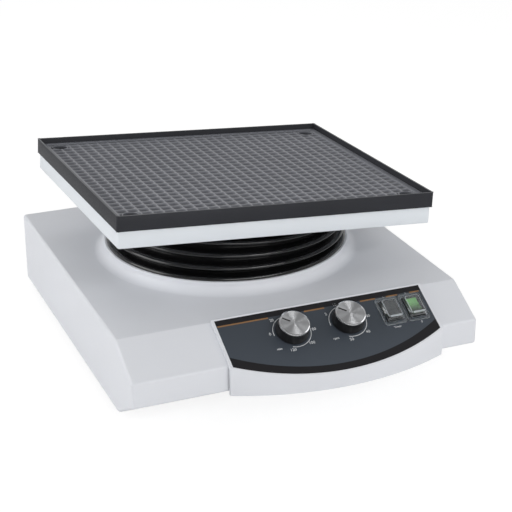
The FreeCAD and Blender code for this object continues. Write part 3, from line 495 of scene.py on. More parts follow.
def round_edges(obj, test, offset, segments):
    """Bevels the edges that pass a test."""
    pick(obj, "EDGE", test)
    bpy.ops.mesh.bevel(offset=offset, segments=segments)


def draw_faces(up):
    """Extrudes the selected faces upwards, or downwards."""
    bpy.ops.mesh.extrude_region_move(TRANSFORM_OT_translate={"value": (0, 0, up)})


def draw_edges(step=(0, 0, 0)):
    """Extrudes the selected edges by a step."""
    bpy.ops.mesh.extrude_edges_move(TRANSFORM_OT_translate={"value": step})


def named(name):
    """The object just added, with its name."""
    made = bpy.context.object
    made.name = made.data.name = name
    return made


def box_piece(name, width, depth, low, high, middle=(0, 0)):
    """A block about a point, from low to high: the start of a piece."""
    only(None)
    bpy.ops.mesh.primitive_cube_add(size=1, location=(*middle, (low + high) / 2))
    made = named(name)
    made.scale = (width, depth, high - low)
    bpy.ops.object.transform_apply()
    return made


def disc_piece(name, radius, low, high, segments=96, middle=(0, 0)):
    """A round block about a point, from low to high: the start of a piece."""
    only(None)
    bpy.ops.mesh.primitive_cylinder_add(vertices=segments, radius=radius, depth=high - low,
                                        location=(*middle, (low + high) / 2))
    bpy.ops.object.transform_apply()
    return named(name)


def settle(obj, place, smooth=35):
    """Puts a piece modelled about the origin into its frame, with its place in its mesh, and smooths it."""
    only(obj)
    obj.matrix_world = place @ obj.matrix_world
    bpy.ops.object.transform_apply()
    bpy.ops.object.shade_smooth_by_angle(angle=math.radians(smooth))


def outward(obj):
    """Merges doubled points and turns all faces outwards."""
    with editing(obj):
        bpy.ops.mesh.select_all(action="SELECT")
        bpy.ops.mesh.remove_doubles(threshold=1e-7)
        bpy.ops.mesh.normals_make_consistent(inside=False)


def bridge_inset(obj, test, thickness):
    """Opens the faces that pass a test but for a border, and joins the two openings by a wall."""
    pick(obj, "FACE", test)
    bpy.ops.mesh.inset(thickness=thickness)
    bpy.ops.mesh.delete(type="FACE")
    pick_open_edges()
    bpy.ops.mesh.bridge_edge_loops()


def apply_modifier(obj, kind, **values):
    only(obj)
    modifier = obj.modifiers.new(kind.title(), kind)
    for key, value in values.items():
        setattr(modifier, key, value)
    bpy.ops.object.modifier_apply(modifier=modifier.name)


def cut_with(obj, cutter):
    """Takes a cutter's space out of a piece and deletes the cutter."""
    apply_modifier(obj, "BOOLEAN", operation="DIFFERENCE", object=cutter, solver="EXACT")
    bpy.data.objects.remove(cutter)


def joined(pieces):
    """Several meshes as the first one's object."""
    only(pieces[0])
    for piece in pieces:
        piece.select_set(True)
    bpy.ops.object.join()
    return pieces[0]


def finish_piece(obj, material, body, slot, *nodes):
    """Gives a piece its body and, if it has none yet, its material, and hides the nodes it replaces. The slot
    is not used.
    """
    if not obj.data.materials:
        obj.data.materials.append(material)
    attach(obj, body)
    if nodes:
        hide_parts(*nodes)


def second_material(obj, material, other, test):
    """Gives a piece its material, and another to the faces that pass a test."""
    obj.data.materials.append(material)
    obj.data.materials.append(other)
    with editing(obj):
        pick(obj, "FACE", test)
        obj.active_material_index = 1
        bpy.ops.object.material_slot_assign()


def dress(material, *nodes):
    """Gives carried-over nodes a material."""
    for name in nodes:
        mesh = frame["nodes"][name].data
        mesh.materials.clear()
        mesh.materials.append(material)


class SHAKER_OT_housing(bpy.types.Operator):
    """Finish the moulded housing and its console"""
    bl_idname = "shaker.housing"
    bl_label = "Housing"
    bl_options = UNDOABLE

    def execute(self, context):
        # ABS moulded in a spark-eroded tool: light grey with a soft satin sheen.
        shell = grained("abs_housing_satin", settings("finish").housing, roughness=0.45, grain=0.9,
                        depth=0.02, shift=0.015)
        dress(shell, "housing_shell", "console_bezel")
        return {"FINISHED"}


class SHAKER_OT_tray(bpy.types.Operator):
    """Fold the tray below the deck"""
    bl_idname = "shaker.tray"
    bl_label = "Tray"
    bl_options = UNDOABLE

    def execute(self, context):
        size = settings("platform")
        width = size.width - 2 * size.tray_inset
        depth = size.depth - 2 * size.tray_inset
        low = size.deck_rise - size.tray_height
        tray = box_piece("tray_folded", width, depth, low, size.deck_rise)
        with editing(tray):
            round_edges(tray, upright, size.tray_sheet, segments=4)
            pick(tray, "FACE", faces_down)
            bpy.ops.mesh.inset(thickness=size.tray_sheet)
            draw_faces(size.tray_height - size.tray_sheet)
            round_edges(tray, level_at(size.deck_rise, low), size.tray_edge, segments=2)
        settle(tray, frame_of("platform_swivel"))
        # Steel with a powder coat: white, with the faint orange peel that the melted powder leaves.
        coat = grained("powder_coat_white", settings("finish").tray, roughness=0.38, grain=1.6, depth=0.03,
                       shift=0.015)
        finish_piece(tray, coat, "platform", "tray_paint", "platform_tray")
        return {"FINISHED"}


class SHAKER_OT_rim(bpy.types.Operator):
    """Mould the rim that holds the mat"""
    bl_idname = "shaker.rim"
    bl_label = "Rim"
    bl_options = UNDOABLE

    def execute(self, context):
        size = settings("platform")
        look = settings("finish")
        top = size.deck_rise + size.rim_height

        def outer_corner(middle, along):
            return upright(middle, along) and near(abs(middle.x), size.width / 2)

        def long_edge(middle, along):
            """Both edges of the top, and the outer one of the foot."""
            out = max(abs(middle.x) - size.width / 2, abs(middle.y) - size.depth / 2)
            foot = level_at(size.deck_rise)(middle, along) and out > -size.rim_corner
            return foot or level_at(top)(middle, along)

        rim = box_piece("rim_moulded", size.width, size.depth, size.deck_rise, top)
        with editing(rim):
            pick(rim, "FACE", faces_up)
            bpy.ops.mesh.inset(thickness=size.rim_wall)
            draw_faces(size.ledge_sheet - size.rim_height)
            bpy.ops.mesh.inset(thickness=size.rim_ledge)
            bpy.ops.mesh.delete(type="FACE")
            bridge_inset(rim, faces_down, size.rim_wall + size.rim_ledge)
            round_edges(rim, outer_corner, size.rim_corner, segments=5)
            round_edges(rim, long_edge, size.rim_edge, segments=2)
        outward(rim)
        # Polyurethane moulding: near black and matt, with a fine grain.
        black = grained("polyurethane_rim_black", look.rim, roughness=0.5, grain=1.2, depth=0.05, shift=0.12,
                        specular=0.22)
        # The same, paler and smoother along its top: the paleness is a painted highlight.
        painted_highlight = grained("polyurethane_rim_rubbed", look.rim_highlight, roughness=0.4, grain=1.2, depth=0.02,
                         shift=0.3)
        # Painted highlight: the paler colour on the rim's top faces that face upwards
        second_material(rim, black, painted_highlight,
                        lambda middle, normal: normal.z > 0.4 and middle.z > top - size.rim_edge)
        settle(rim, frame_of("platform_swivel"))
        finish_piece(rim, black, "platform", "rim_plastic", "rim_frame")
        return {"FINISHED"}


class SHAKER_OT_mat(bpy.types.Operator):
    """Mould the waffle mat: one pocket, repeated, with a hole near each corner"""
    bl_idname = "shaker.mat"
    bl_label = "Mat"
    bl_options = UNDOABLE

    # Rings of one pocket from the ribs to the middle: share of half a pitch, depth in millimetres, roundness
    POCKET = ((0.86, 0.06, 0.25), (0.72, 1.20, 0.55), (0.50, 2.20, 0.80), (0.0, 2.60, 0.0))
    HOLE_SEGMENTS = 32
    COLLAR = 0.8 * MM
    LAP = 0.1 * MM
    # Depth below the rib tops over which painted shade darkens the rubber, and the share of its colour left
    # at that depth
    POCKET_SHADE_DEPTH = 2.4 * MM
    POCKET_SHADE_SHARE = 0.3

    def pocket(self, size, top):
        """One pocket, out to the middles of its ribs."""
        rings = len(self.POCKET)
        only(None)
        bpy.ops.mesh.primitive_grid_add(x_subdivisions=2 * rings, y_subdivisions=2 * rings, size=2)
        mat = named("mat_waffle")
        with editing(mat):
            for index, (share, depth, roundness) in enumerate(self.POCKET, start=1):
                was = 1 - index / rings
                pick(mat, "VERT", lambda at, normal: near(max(abs(at.x), abs(at.y)), was))
                if was:
                    bpy.ops.transform.resize(value=(share / was, share / was, 1), center_override=(0, 0, 0))
                    bpy.ops.transform.tosphere(value=roundness)
                bpy.ops.transform.translate(value=(0, 0, -depth * MM))
        only(mat)
        mat.scale = (size.pitch_x / 2, size.pitch_y / 2, 1)
        mat.location.z = top
        bpy.ops.object.transform_apply()
        return mat

    def repeat(self, mat, size):
        """Copies the pocket into rows and columns about the middle of the deck."""
        for axis, copies, pitch in ((0, size.columns, size.pitch_x), (1, size.rows, size.pitch_y)):
            step = Vector((0, 0, 0))
            step[axis] = pitch
            apply_modifier(mat, "ARRAY", count=copies, use_relative_offset=False, use_constant_offset=True,
                           constant_offset_displace=step, use_merge_vertices=True, merge_threshold=1e-6)
            mat.location[axis] = (1 - copies) * pitch / 2
        bpy.ops.object.transform_apply()

    def close(self, mat, size, top):
        """Adds a plain border, the sides, and an underside with a step for the rim's ledge."""
        inside = 2 * (size.rim_wall + size.mat_clearance)
        grow_x = (size.width - inside) / (size.columns * size.pitch_x)
        grow_y = (size.depth - inside) / (size.rows * size.pitch_y)
        with editing(mat):
            pick_open_edges()
            draw_edges()
            bpy.ops.transform.resize(value=(grow_x, grow_y, 1), center_override=(0, 0, top))
            draw_edges((0, 0, size.ledge_sheet - size.mat_thickness))
            bpy.ops.mesh.edge_face_add()
            bpy.ops.mesh.inset(thickness=size.rim_ledge + size.mat_clearance)
            draw_faces(-size.ledge_sheet)
        outward(mat)

    def collar(self, size, top, middle):
        """The plain ring that lines a corner hole."""
        collar = disc_piece("mat_collar", size.hole_radius + self.COLLAR, size.deck_rise + self.LAP,
                            top - self.LAP, self.HOLE_SEGMENTS, middle)
        with editing(collar):
            bridge_inset(collar, upright, self.COLLAR + self.LAP)
        outward(collar)
        return collar

    def execute(self, context):
        size = settings("platform")
        top = size.deck_rise + size.mat_thickness
        mat = self.pocket(size, top)
        self.repeat(mat, size)
        self.close(mat, size, top)
        half_x = size.width / 2 - size.hole_inset
        half_y = size.depth / 2 - size.hole_inset
        corners = [(side_x * half_x, side_y * half_y) for side_x in (-1, 1) for side_y in (-1, 1)]
        drills = [disc_piece("drill", size.hole_radius, size.deck_rise - size.ledge_sheet,
                             top + size.ledge_sheet, self.HOLE_SEGMENTS, corner) for corner in corners]
        cut_with(mat, joined(drills))
        mat = joined([mat, *[self.collar(size, top, corner) for corner in corners]])
        settle(mat, frame_of("platform_swivel"), smooth=50)
        # Moulded nitrile rubber: dark grey with a waxy sheen, with painted shade that darkens it from the rib
        # tops down into the pockets and the corner holes.
        rubber = grained("nitrile_mat_grey", settings("finish").mat, roughness=0.33, grain=1.4, depth=0.02,
                         shift=0.1, painted_pocket_shade=("platform_swivel", top - self.POCKET_SHADE_DEPTH, top, self.POCKET_SHADE_SHARE))
        finish_piece(mat, rubber, "platform", "mat_rubber", "ribbed_mat")
        return {"FINISHED"}


class SHAKER_OT_bellows(bpy.types.Operator):
    """Draw the ribbed bellows up from the collar, ring by ring, leaning over with the platform"""
    bl_idname = "shaker.bellows"
    bl_label = "Bellows"
    bl_options = UNDOABLE

    # Shares of a rib's height: where its valley lies, and the smooth neck above the last rib
    VALLEY = 0.28
    NECK = 1.0
    SHARPNESS = 1.3

    def radius(self, size, share):
        """The outside radius at a share of the height: round ridges with narrower valleys between them."""
        ridge = size.base_radius + (size.top_radius - size.base_radius) * share
        along = share * (size.ribs + self.NECK) - self.VALLEY
        if along > size.ribs:
            return ridge - size.fold
        if along < 0:
            along *= 0.5 / self.VALLEY
        wave = 0.5 + 0.5 * math.cos(2 * math.pi * along)
        return ridge - size.fold * wave ** self.SHARPNESS

    def execute(self, context):
        size = settings("bellows")
        platform = settings("platform")
        axis = Vector(JOINTS["drive_spin"]["pos_m"])
        low = Vector((axis.x, axis.y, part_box("bellows")[0].z + size.lip))
        neck_top = platform.deck_rise - platform.tray_sheet - size.clearance - size.lip
        high = frame_of("platform_swivel") @ Vector((0, 0, neck_top))
        leaning = Vector(JOINTS["platform_swivel"]["axis"])
        heading = math.atan2(leaning.y, leaning.x)
        tilt = math.acos(leaning.z)
        # Built leaning towards +X about the collar's middle, and turned to its heading at the end
        reach = Vector(((high - low).xy.length, 0, high.z - low.z))
        count = int((size.ribs + self.NECK) * size.steps)
        rings = [(reach * (i / count), tilt * i / count, self.radius(size, i / count))
                 for i in range(count + 1)]
        lip_down = Vector((0, 0, -size.lip))
        lip_up = Vector((math.sin(tilt), 0, math.cos(tilt))) * size.lip
        rings.insert(0, (lip_down, 0, size.base_radius))
        rings += [(reach + lip_up, tilt, rings[-1][2]), (reach + lip_up, tilt, size.bore)]
        here, lean, wide = lip_down, 0, size.base_radius - 2 * size.lip
        only(None)
        bpy.ops.mesh.primitive_circle_add(vertices=size.segments, radius=wide, location=here)
        bellows = named("bellows_ribbed")
        bpy.ops.object.transform_apply()
        with editing(bellows):
            bpy.ops.mesh.select_all(action="SELECT")
            for middle, ring_lean, ring_wide in rings:
                draw_edges(middle - here)
                if ring_lean != lean:
                    # With no window this operator turns the other way
                    bpy.ops.transform.rotate(value=lean - ring_lean, orient_axis="Y", center_override=middle)
                grow = ring_wide / wide
                bpy.ops.transform.resize(value=(grow, grow, grow), center_override=middle)
                here, lean, wide = middle, ring_lean, ring_wide
        outward(bellows)
        settle(bellows, Matrix.Translation(low) @ Matrix.Rotation(heading, 4, "Z"), smooth=60)
        # Moulded chloroprene rubber: deep black and glossy, so each ridge carries a thin bright line.
        black = grained("chloroprene_bellows_black", settings("finish").bellows, roughness=0.14, grain=3.0,
                        depth=0.02, shift=0.2, specular=0.6, spread=0.03)
        finish_piece(bellows, black, "drive", "bellows_rubber", "bellows")
        return {"FINISHED"}


class SHAKER_OT_knobs(bpy.types.Operator):
    """Turn both knobs: black skirt, spun face and inlaid pointer"""
    bl_idname = "shaker.knobs"
    bl_label = "Knobs"
    bl_options = UNDOABLE

    FOOT_EDGE = 0.6 * MM
    CHAMFER = 1.2 * MM
    # The face is sunk a little inside its chamfer, and two more rings keep its mesh even
    SINK_BORDER = 0.2 * MM
    SINK = 0.1 * MM
    FACE_RING = 5 * MM
    POINTER = math.radians(142)
    POINTER_INNER = 3.8 * MM
    POINTER_OUTER = 11.4 * MM
    POINTER_WIDTH = 1.4 * MM
    POINTER_CORNER = 0.4 * MM
    # The inlay's lower and upper side, below the top of the face
    INLAY_LOW = 0.5 * MM
    INLAY_HIGH = 0.08 * MM

    def skirt(self, name, size):
        base = size.knob_gap
        top = base + size.knob_height - size.face_sheet
        skirt = disc_piece(name + "_skirt_turned", size.knob_radius, base, top)
        with editing(skirt):
            pick(skirt, "FACE", faces_up)
            shrink = size.knob_top / size.knob_radius
            bpy.ops.transform.resize(value=(shrink, shrink, 1), center_override=(0, 0, top))
            round_edges(skirt, level_at(base), self.FOOT_EDGE, segments=3)
        return skirt

    def face(self, name, size):
        top = size.knob_gap + size.knob_height
        face = disc_piece(name + "_face_spun", size.knob_top, top - size.face_sheet, top)
        with editing(face):
            round_edges(face, level_at(top), self.CHAMFER, segments=2)
            pick(face, "FACE", lambda middle, normal: normal.z > 0.99)
            bpy.ops.mesh.inset(thickness=self.SINK_BORDER, depth=-self.SINK)
            bpy.ops.mesh.inset(thickness=self.FACE_RING)
            bpy.ops.mesh.inset(thickness=self.FACE_RING)
        return face

    def pointer(self, name, size):
        top = size.knob_gap + size.knob_height
        pointer = box_piece(name + "_pointer_inlaid", self.POINTER_OUTER - self.POINTER_INNER,
                            self.POINTER_WIDTH, top - self.INLAY_LOW, top - self.INLAY_HIGH,
                            ((self.POINTER_OUTER + self.POINTER_INNER) / 2, 0))
        with editing(pointer):
            round_edges(pointer, upright, self.POINTER_CORNER, segments=3)
        only(pointer)
        pointer.rotation_euler.z = self.POINTER
        bpy.ops.object.transform_apply()
        return pointer

    def execute(self, context):
        size = settings("panel")
        flat = size.knob_top - self.CHAMFER
        # ABS moulded and lightly polished: black with a soft broad sheen.
        black = grained("abs_knob_black", settings("finish").knob, roughness=0.34, grain=0.8, depth=0.01,
                        shift=0.1)
        # Black lacquer rubbed into the engraved line.
        lacquer = grained("lacquer_pointer_black", linear("#1A1A1B"), roughness=0.5, grain=0.6, depth=0.01)
        # The face's chamfer, cut with a diamond: as bright as a mirror.
        bright = grained("diamond_cut_aluminium", linear("#E4E5E7"), roughness=0.14, grain=0.5, depth=0.002,
                         metallic=1.0, spread=0.03)
        for name in ("timer", "speed"):
            body = name + "_knob"
            skirt = self.skirt(name, size)
            face = self.face(name, size)
            pointer = self.pointer(name, size)
            metal = spun_aluminium(f"spun_aluminium_{name}", name + "_turn")
            second_material(face, metal, bright,
                            lambda middle, normal: middle.xy.length > flat and normal.z > 0.1)
            for piece in (skirt, face, pointer):
                settle(piece, frame_of(name + "_turn"), smooth=25)
            finish_piece(skirt, black, body, "knob_plastic", name + "_knob_skirt")
            finish_piece(face, metal, body, "knob_aluminium", name + "_knob_face")
            finish_piece(pointer, lacquer, body, "knob_plastic")
        return {"FINISHED"}


class SHAKER_OT_switches(bpy.types.Operator):
    """Finish both rocker switches and mould their clear splash caps"""
    bl_idname = "shaker.switches"
    bl_label = "Switches"
    bl_options = UNDOABLE

    BRIM = 1.2 * MM
    HOOD_CORNER = 2 * MM
    HOOD_EDGE = 0.8 * MM
    LIP_LENGTH = 11 * MM
    LIP_WIDTH = 1.8 * MM
    LIP_HEIGHT = 0.4 * MM
    LIP_ROOT = 0.2 * MM
    LIP_EDGE = 0.3 * MM
    LIP_DOWN = 0.9 * MM

    def cap(self, name, size, clear, edge_highlight):
        top = size.cap_height

        def pale(middle, normal):
            """The brim's outer edge, and the hood's rounded edge except at its lower end: the faces painted
            with the highlight.
            """
            brim_edge = abs(normal.z) < 0.05 and middle.z < self.BRIM
            return brim_edge or middle.z > top - self.HOOD_EDGE and 0.3 < normal.z < 0.97 and normal.y > -0.3

        cap = box_piece(name + "_cap_moulded", size.hood_width, size.hood_length, self.BRIM, top)
        with editing(cap):
            pick(cap, "FACE", faces_down)
            bpy.ops.mesh.delete(type="FACE")
            pick(cap, "FACE", faces_up)
            taper_x = 1 - 2 * size.hood_taper / size.hood_width
            taper_y = 1 - 2 * size.hood_taper / size.hood_length
            bpy.ops.transform.resize(value=(taper_x, taper_y, 1), center_override=(0, 0, top))
            bpy.ops.transform.translate(value=(0, -size.hood_shift, 0))
            round_edges(cap, lambda middle, along: abs(along.z) > 0.5, self.HOOD_CORNER, segments=4)
            round_edges(cap, lambda middle, along: near(middle.z, top), self.HOOD_EDGE, segments=3)
            pick_open_edges()
            draw_edges()
            brim_x = size.cap_width / size.hood_width
            brim_y = size.cap_length / size.hood_length
            bpy.ops.transform.resize(value=(brim_x, brim_y, 1), center_override=(0, 0, self.BRIM))
        outward(cap)
        apply_modifier(cap, "SOLIDIFY", thickness=size.cap_wall, offset=-1, use_even_offset=True)
        second_material(cap, clear, edge_highlight, pale)
        return joined([cap, self.lip(name, size, edge_highlight)])

    def lip(self, name, size, edge_highlight):
        """The bar near the hood's lower end, where a finger lifts the cap; its milky white is a painted
        highlight.
        """
        top = size.cap_height
        down = size.hood_length / 2 - size.hood_taper + size.hood_shift - self.LIP_DOWN
        lip = box_piece(name + "_cap_lip", self.LIP_LENGTH, self.LIP_WIDTH, top - self.LIP_ROOT,
                        top + self.LIP_HEIGHT, (0, -down))
        with editing(lip):
            round_edges(lip, lambda middle, along: middle.z > top, self.LIP_EDGE, segments=3)
        lip.data.materials.append(edge_highlight)
        return lip

    def execute(self, context):
        size = settings("panel")
        clear = clear_plastic("polycarbonate_clear")
        # Milky white for the painted highlights on the caps' edges and bar
        edge_highlight = edge_highlight_plastic("polycarbonate_edge")
        # Moulded nylon: black and dull.
        black = grained("nylon_switch_black", linear("#202123"), roughness=0.45, grain=0.8, depth=0.02)
        # Moulded ABS rocker: dark grey, slightly shiny where fingers press.
        grey = grained("abs_rocker_grey", linear("#3B3D40"), roughness=0.35, grain=0.8, depth=0.01)
        dress(black, "timer_switch_body", "power_switch_body")
        dress(grey, "timer_rocker")
        dress(lit_lens("acrylic_lit_green", settings("finish").lens), "power_rocker")
        for name in ("timer", "power"):
            across = JOINTS[name + "_press"]["pos_m"][0]
            cap = self.cap(name, size, clear, edge_highlight)
            settle(cap, panel_frame() @ Matrix.Translation((across, -size.switch_down, 0)), smooth=30)
            finish_piece(cap, clear, "base", "cap_clear", name + "_switch_cap")
        return {"FINISHED"}


class SHAKER_OT_print(bpy.types.Operator):
    """Print the foil: bands, coloured line, scales, numbers and switch marks"""
    bl_idname = "shaker.print"
    bl_label = "Print"
    bl_options = UNDOABLE

    # Coloured line: ends of its stretches across the panel, in millimetres
    LINE = ((-72.2, -26.1), (7.5, 26.7), (61.1, 75.9), (86.5, 97.5), (109.5, 119.0))
    # Numbers and their angles round each knob, anticlockwise from the right, in degrees
    TIMER = (("0", 177), ("20", 132), ("40", 87), ("60", 41), ("80", -5.5), ("100", -50), ("120", -107))
    SPEED = (("2", 146), ("10", 105), ("20", 55), ("30", 4), ("40", -48), ("50", -102))
    # The scale's ends, in degrees
    ARC = (185, -108)
    ARC_STEPS = 48
    # The unit beside each scale: angle in degrees, radius and share of the letters' size
    UNIT_ANGLE = -138
    UNIT_RADIUS = 23.2 * MM
    UNIT_SHARE = 0.85
    # Marks above and below the switches: text, place across and down the slope in millimetres, and share of
    # the letters' size
    MARKS = (("I", 83.6, 8.3, 0.8), ("Timer", 83.6, 41.3, 0.75), ("I", 105.4, 8.0, 0.8),
             ("0", 107.4, 40.6, 0.8))
    LETTER_STEPS = 3
    BAND_STEPS = 512

    def bar(self, size, left, right, down, width, name):
        return box_piece(name, right - left, width, 0, size.print_sheet, ((left + right) / 2, -down))

    def upper_band(self, size):
        """From the foil's upper end down to the coloured line."""
        end = size.line_down - size.line_width / 2
        return self.bar(size, size.foil_left, size.foil_right, (end + size.foil_top) / 2, end - size.foil_top,
                        "print_band_upper")

    def lower_band(self, size):
        """The front arc of the foil, drawn up the slope by the band's width."""
        half = (size.foil_right - size.foil_left) / 2
        middle = (size.foil_right + size.foil_left) / 2
        bow = size.foil_nose - size.foil_end
        radius = (half ** 2 + bow ** 2) / (2 * bow)
        centre = Vector((middle, radius - size.foil_nose, 0))
        only(None)
        bpy.ops.mesh.primitive_circle_add(vertices=self.BAND_STEPS, radius=radius, location=centre)
        bpy.ops.object.transform_apply()
        band = named("print_band_lower")
        with editing(band):
            for point, normal in (((size.foil_left, 0, 0), (-1, 0, 0)), ((size.foil_right, 0, 0), (1, 0, 0)),
                                  (centre, (0, 1, 0))):
                bpy.ops.mesh.select_all(action="SELECT")
                bpy.ops.mesh.bisect(plane_co=point, plane_no=normal, clear_outer=True)
            bpy.ops.mesh.select_all(action="SELECT")
            draw_edges((0, size.band_width, 0))
            apex = (middle, size.band_width - size.foil_nose, 0)
            bpy.ops.transform.resize(value=(1, size.band_bow / bow, 1), center_override=apex)
            bpy.ops.mesh.select_all(action="SELECT")
            draw_faces(size.print_sheet)
        return band

    def arc(self, size, start, end, middle, name):
        """A printed arc round a knob: one short stroke, spun about the knob's middle."""
        only(None)
        bpy.ops.mesh.primitive_plane_add(size=1, location=(size.scale_radius, 0, 0))
        arc = named(name)
        arc.scale = (size.stroke, size.print_sheet, 1)
        bpy.ops.object.transform_apply()
        with editing(arc):
            pick(arc, "VERT", lambda at, normal: at.y > 0)
            bpy.ops.mesh.delete(type="VERT")
            bpy.ops.mesh.select_all(action="SELECT")
            # Spin turns the other way
            bpy.ops.mesh.spin(steps=self.ARC_STEPS, angle=math.radians(start - end), center=(0, 0, 0),
                              axis=(0, 0, 1))
            bpy.ops.mesh.select_all(action="SELECT")
            draw_faces(size.print_sheet)
        only(arc)
        arc.rotation_euler.z = math.radians(start)
        arc.location = (*middle, 0)
        bpy.ops.object.transform_apply()
        return arc

    def words(self, size, text, at, name, share=1.0):
        only(None)
        bpy.ops.object.text_add(location=(0, 0, 0))
        letters = bpy.context.object.data
        letters.body = text
        letters.size = size.letter * share
        letters.align_x = "CENTER"
        letters.align_y = "CENTER"
        letters.extrude = size.print_sheet / 2
        letters.resolution_u = self.LETTER_STEPS
        bpy.ops.object.convert(target="MESH")
        made = named(name)
        made.location = (*at, size.print_sheet / 2)
        bpy.ops.object.transform_apply()
        return made

    def scale(self, size, knob, labels, unit):
        """Scale arc, numbers and unit round one knob."""
        middle = Vector((JOINTS[knob + "_turn"]["pos_m"][0], -size.knob_down))
        made = [self.arc(size, *self.ARC, middle, f"print_{knob}_scale")]
        texts = [(text, degrees, size.label_radius, 1.0) for text, degrees in labels]
        texts.append((unit, self.UNIT_ANGLE, self.UNIT_RADIUS, self.UNIT_SHARE))
        for text, degrees, radius, share in texts:
            turn = math.radians(degrees)
            at = middle + Vector((math.cos(turn), math.sin(turn))) * radius
            made.append(self.words(size, text, at, f"print_{knob}_{text}", share))
        return joined(made)

    def execute(self, context):
        size = settings("panel")
        look = settings("finish")
        dress(printed_foil("polyester_foil_slate", look.slate), "panel_foil")
        # Screen-printing inks: dense, thin and slightly matt.
        dark = grained("ink_black", look.band, roughness=0.45, grain=0.9, depth=0.01, specular=0.3)
        bronze = grained("ink_bronze", look.line, roughness=0.45, grain=0.9, depth=0.01)
        white = grained("ink_white", look.ink, roughness=0.5, grain=0.9, depth=0.01)
        upper = self.upper_band(size)
        lines = [self.bar(size, left * MM, right * MM, size.line_down, size.line_width, "print_line")
                 for left, right in self.LINE]
        marks = [self.words(size, text, (across * MM, -down * MM), "print_mark", share)
                 for text, across, down, share in self.MARKS]
        for piece, ink in ((upper, dark), (self.lower_band(size), dark), (joined(lines), bronze),
                           (self.scale(size, "timer", self.TIMER, "min"), white),
                           (self.scale(size, "speed", self.SPEED, "rpm"), white), (joined(marks), white)):
            outward(piece)
            settle(piece, panel_frame(), smooth=20)
            finish_piece(piece, ink, "base", "panel_print")
        return {"FINISHED"}


class SHAKER_OT_inside(bpy.types.Operator):
    """Finish the drive, the base and the inlet"""
    bl_idname = "shaker.inside"
    bl_label = "Drive, base and inlet"
    bl_options = UNDOABLE

    # Finish, colour, roughness, size and depth of the grain in millimetres, metallic, cloudiness, and nodes
    FINISHES = (
        # Sheet steel, zinc plated: grey with faint crystalline clouds.
        ("zinc_plated_sheet", "#A9ADB0", 0.4, 4, 0.01, 0.9, 0.2,
         ("base_plate", "motor_bracket", "lower_bellows_ring")),
        # Steel turned and ground: bright with fine tool marks.
        ("ground_steel", "#C4C6C8", 0.25, 0.5, 0.01, 1.0, 0.1,
         ("drive_shaft", "motor_shaft", "timer_knob_shaft", "speed_knob_shaft", "lower_bearing_inner",
          "lower_bearing_outer", "upper_bearing_inner", "upper_bearing_outer", "tilt_bearing_inner",
          "tilt_bearing_outer", "journal_washer")),
        # Screws with a bright zinc coat.
        ("zinc_plated_screw", "#BFC1BE", 0.3, 0.6, 0.01, 1.0, 0.06,
         ("base_screws", "foot_screws", "block_screws", "bracket_screws", "hub_screws", "inlet_screws",
          "journal_screw", "board_standoffs")),
        # Cast aluminium, machined where it fits: pale and slightly porous.
        ("cast_aluminium", "#B9BBBD", 0.45, 1.2, 0.05, 1.0, 0.15,
         ("bearing_block", "platform_hub", "driven_pulley", "motor_pulley")),
        # Dark stove enamel on the bought-in units: an even, half-matt skin.
        ("stove_enamel_dark", "#3A3C3F", 0.4, 1.5, 0.03, 0.0, 0.06, ("motor", "power_supply")),
        # Brass turned from the bar: yellow, with a bright tooled surface.
        ("turned_brass", "#C9A55A", 0.3, 0.5, 0.01, 1.0, 0.06,
         ("inlet_pins", "potentiometer_nuts", "timer_potentiometer", "speed_potentiometer")),
        # Steel burnished in hot salts: nearly black.
        ("burnished_steel", "#2B2B2C", 0.45, 0.6, 0.01, 0.6, 0.06, ("thread_inserts",)),
        # Rubber feet and belt: black, dull and a little dusty.
        ("rubber_black", "#1D1D1E", 0.7, 1.5, 0.05, 0.0, 0.25, ("rubber_feet", "drive_belt")),
        # Glass-filled polyamide: black with a fine matt grain.
        ("polyamide_inlet_black", "#1E1F21", 0.5, 0.9, 0.03, 0.0, 0.15, ("power_inlet",)),
        # Epoxy glass laminate under green solder resist.
        ("laminate_green", "#1F6B3A", 0.35, 1.0, 0.02, 0.0, 0.15, ("control_board",)),
    )

    def execute(self, context):
        for name, hexcode, roughness, grain, depth, metallic, shift, nodes in self.FINISHES:
            dress(grained(name, linear(hexcode), roughness, grain, depth, metallic, shift), *nodes)
        return {"FINISHED"}


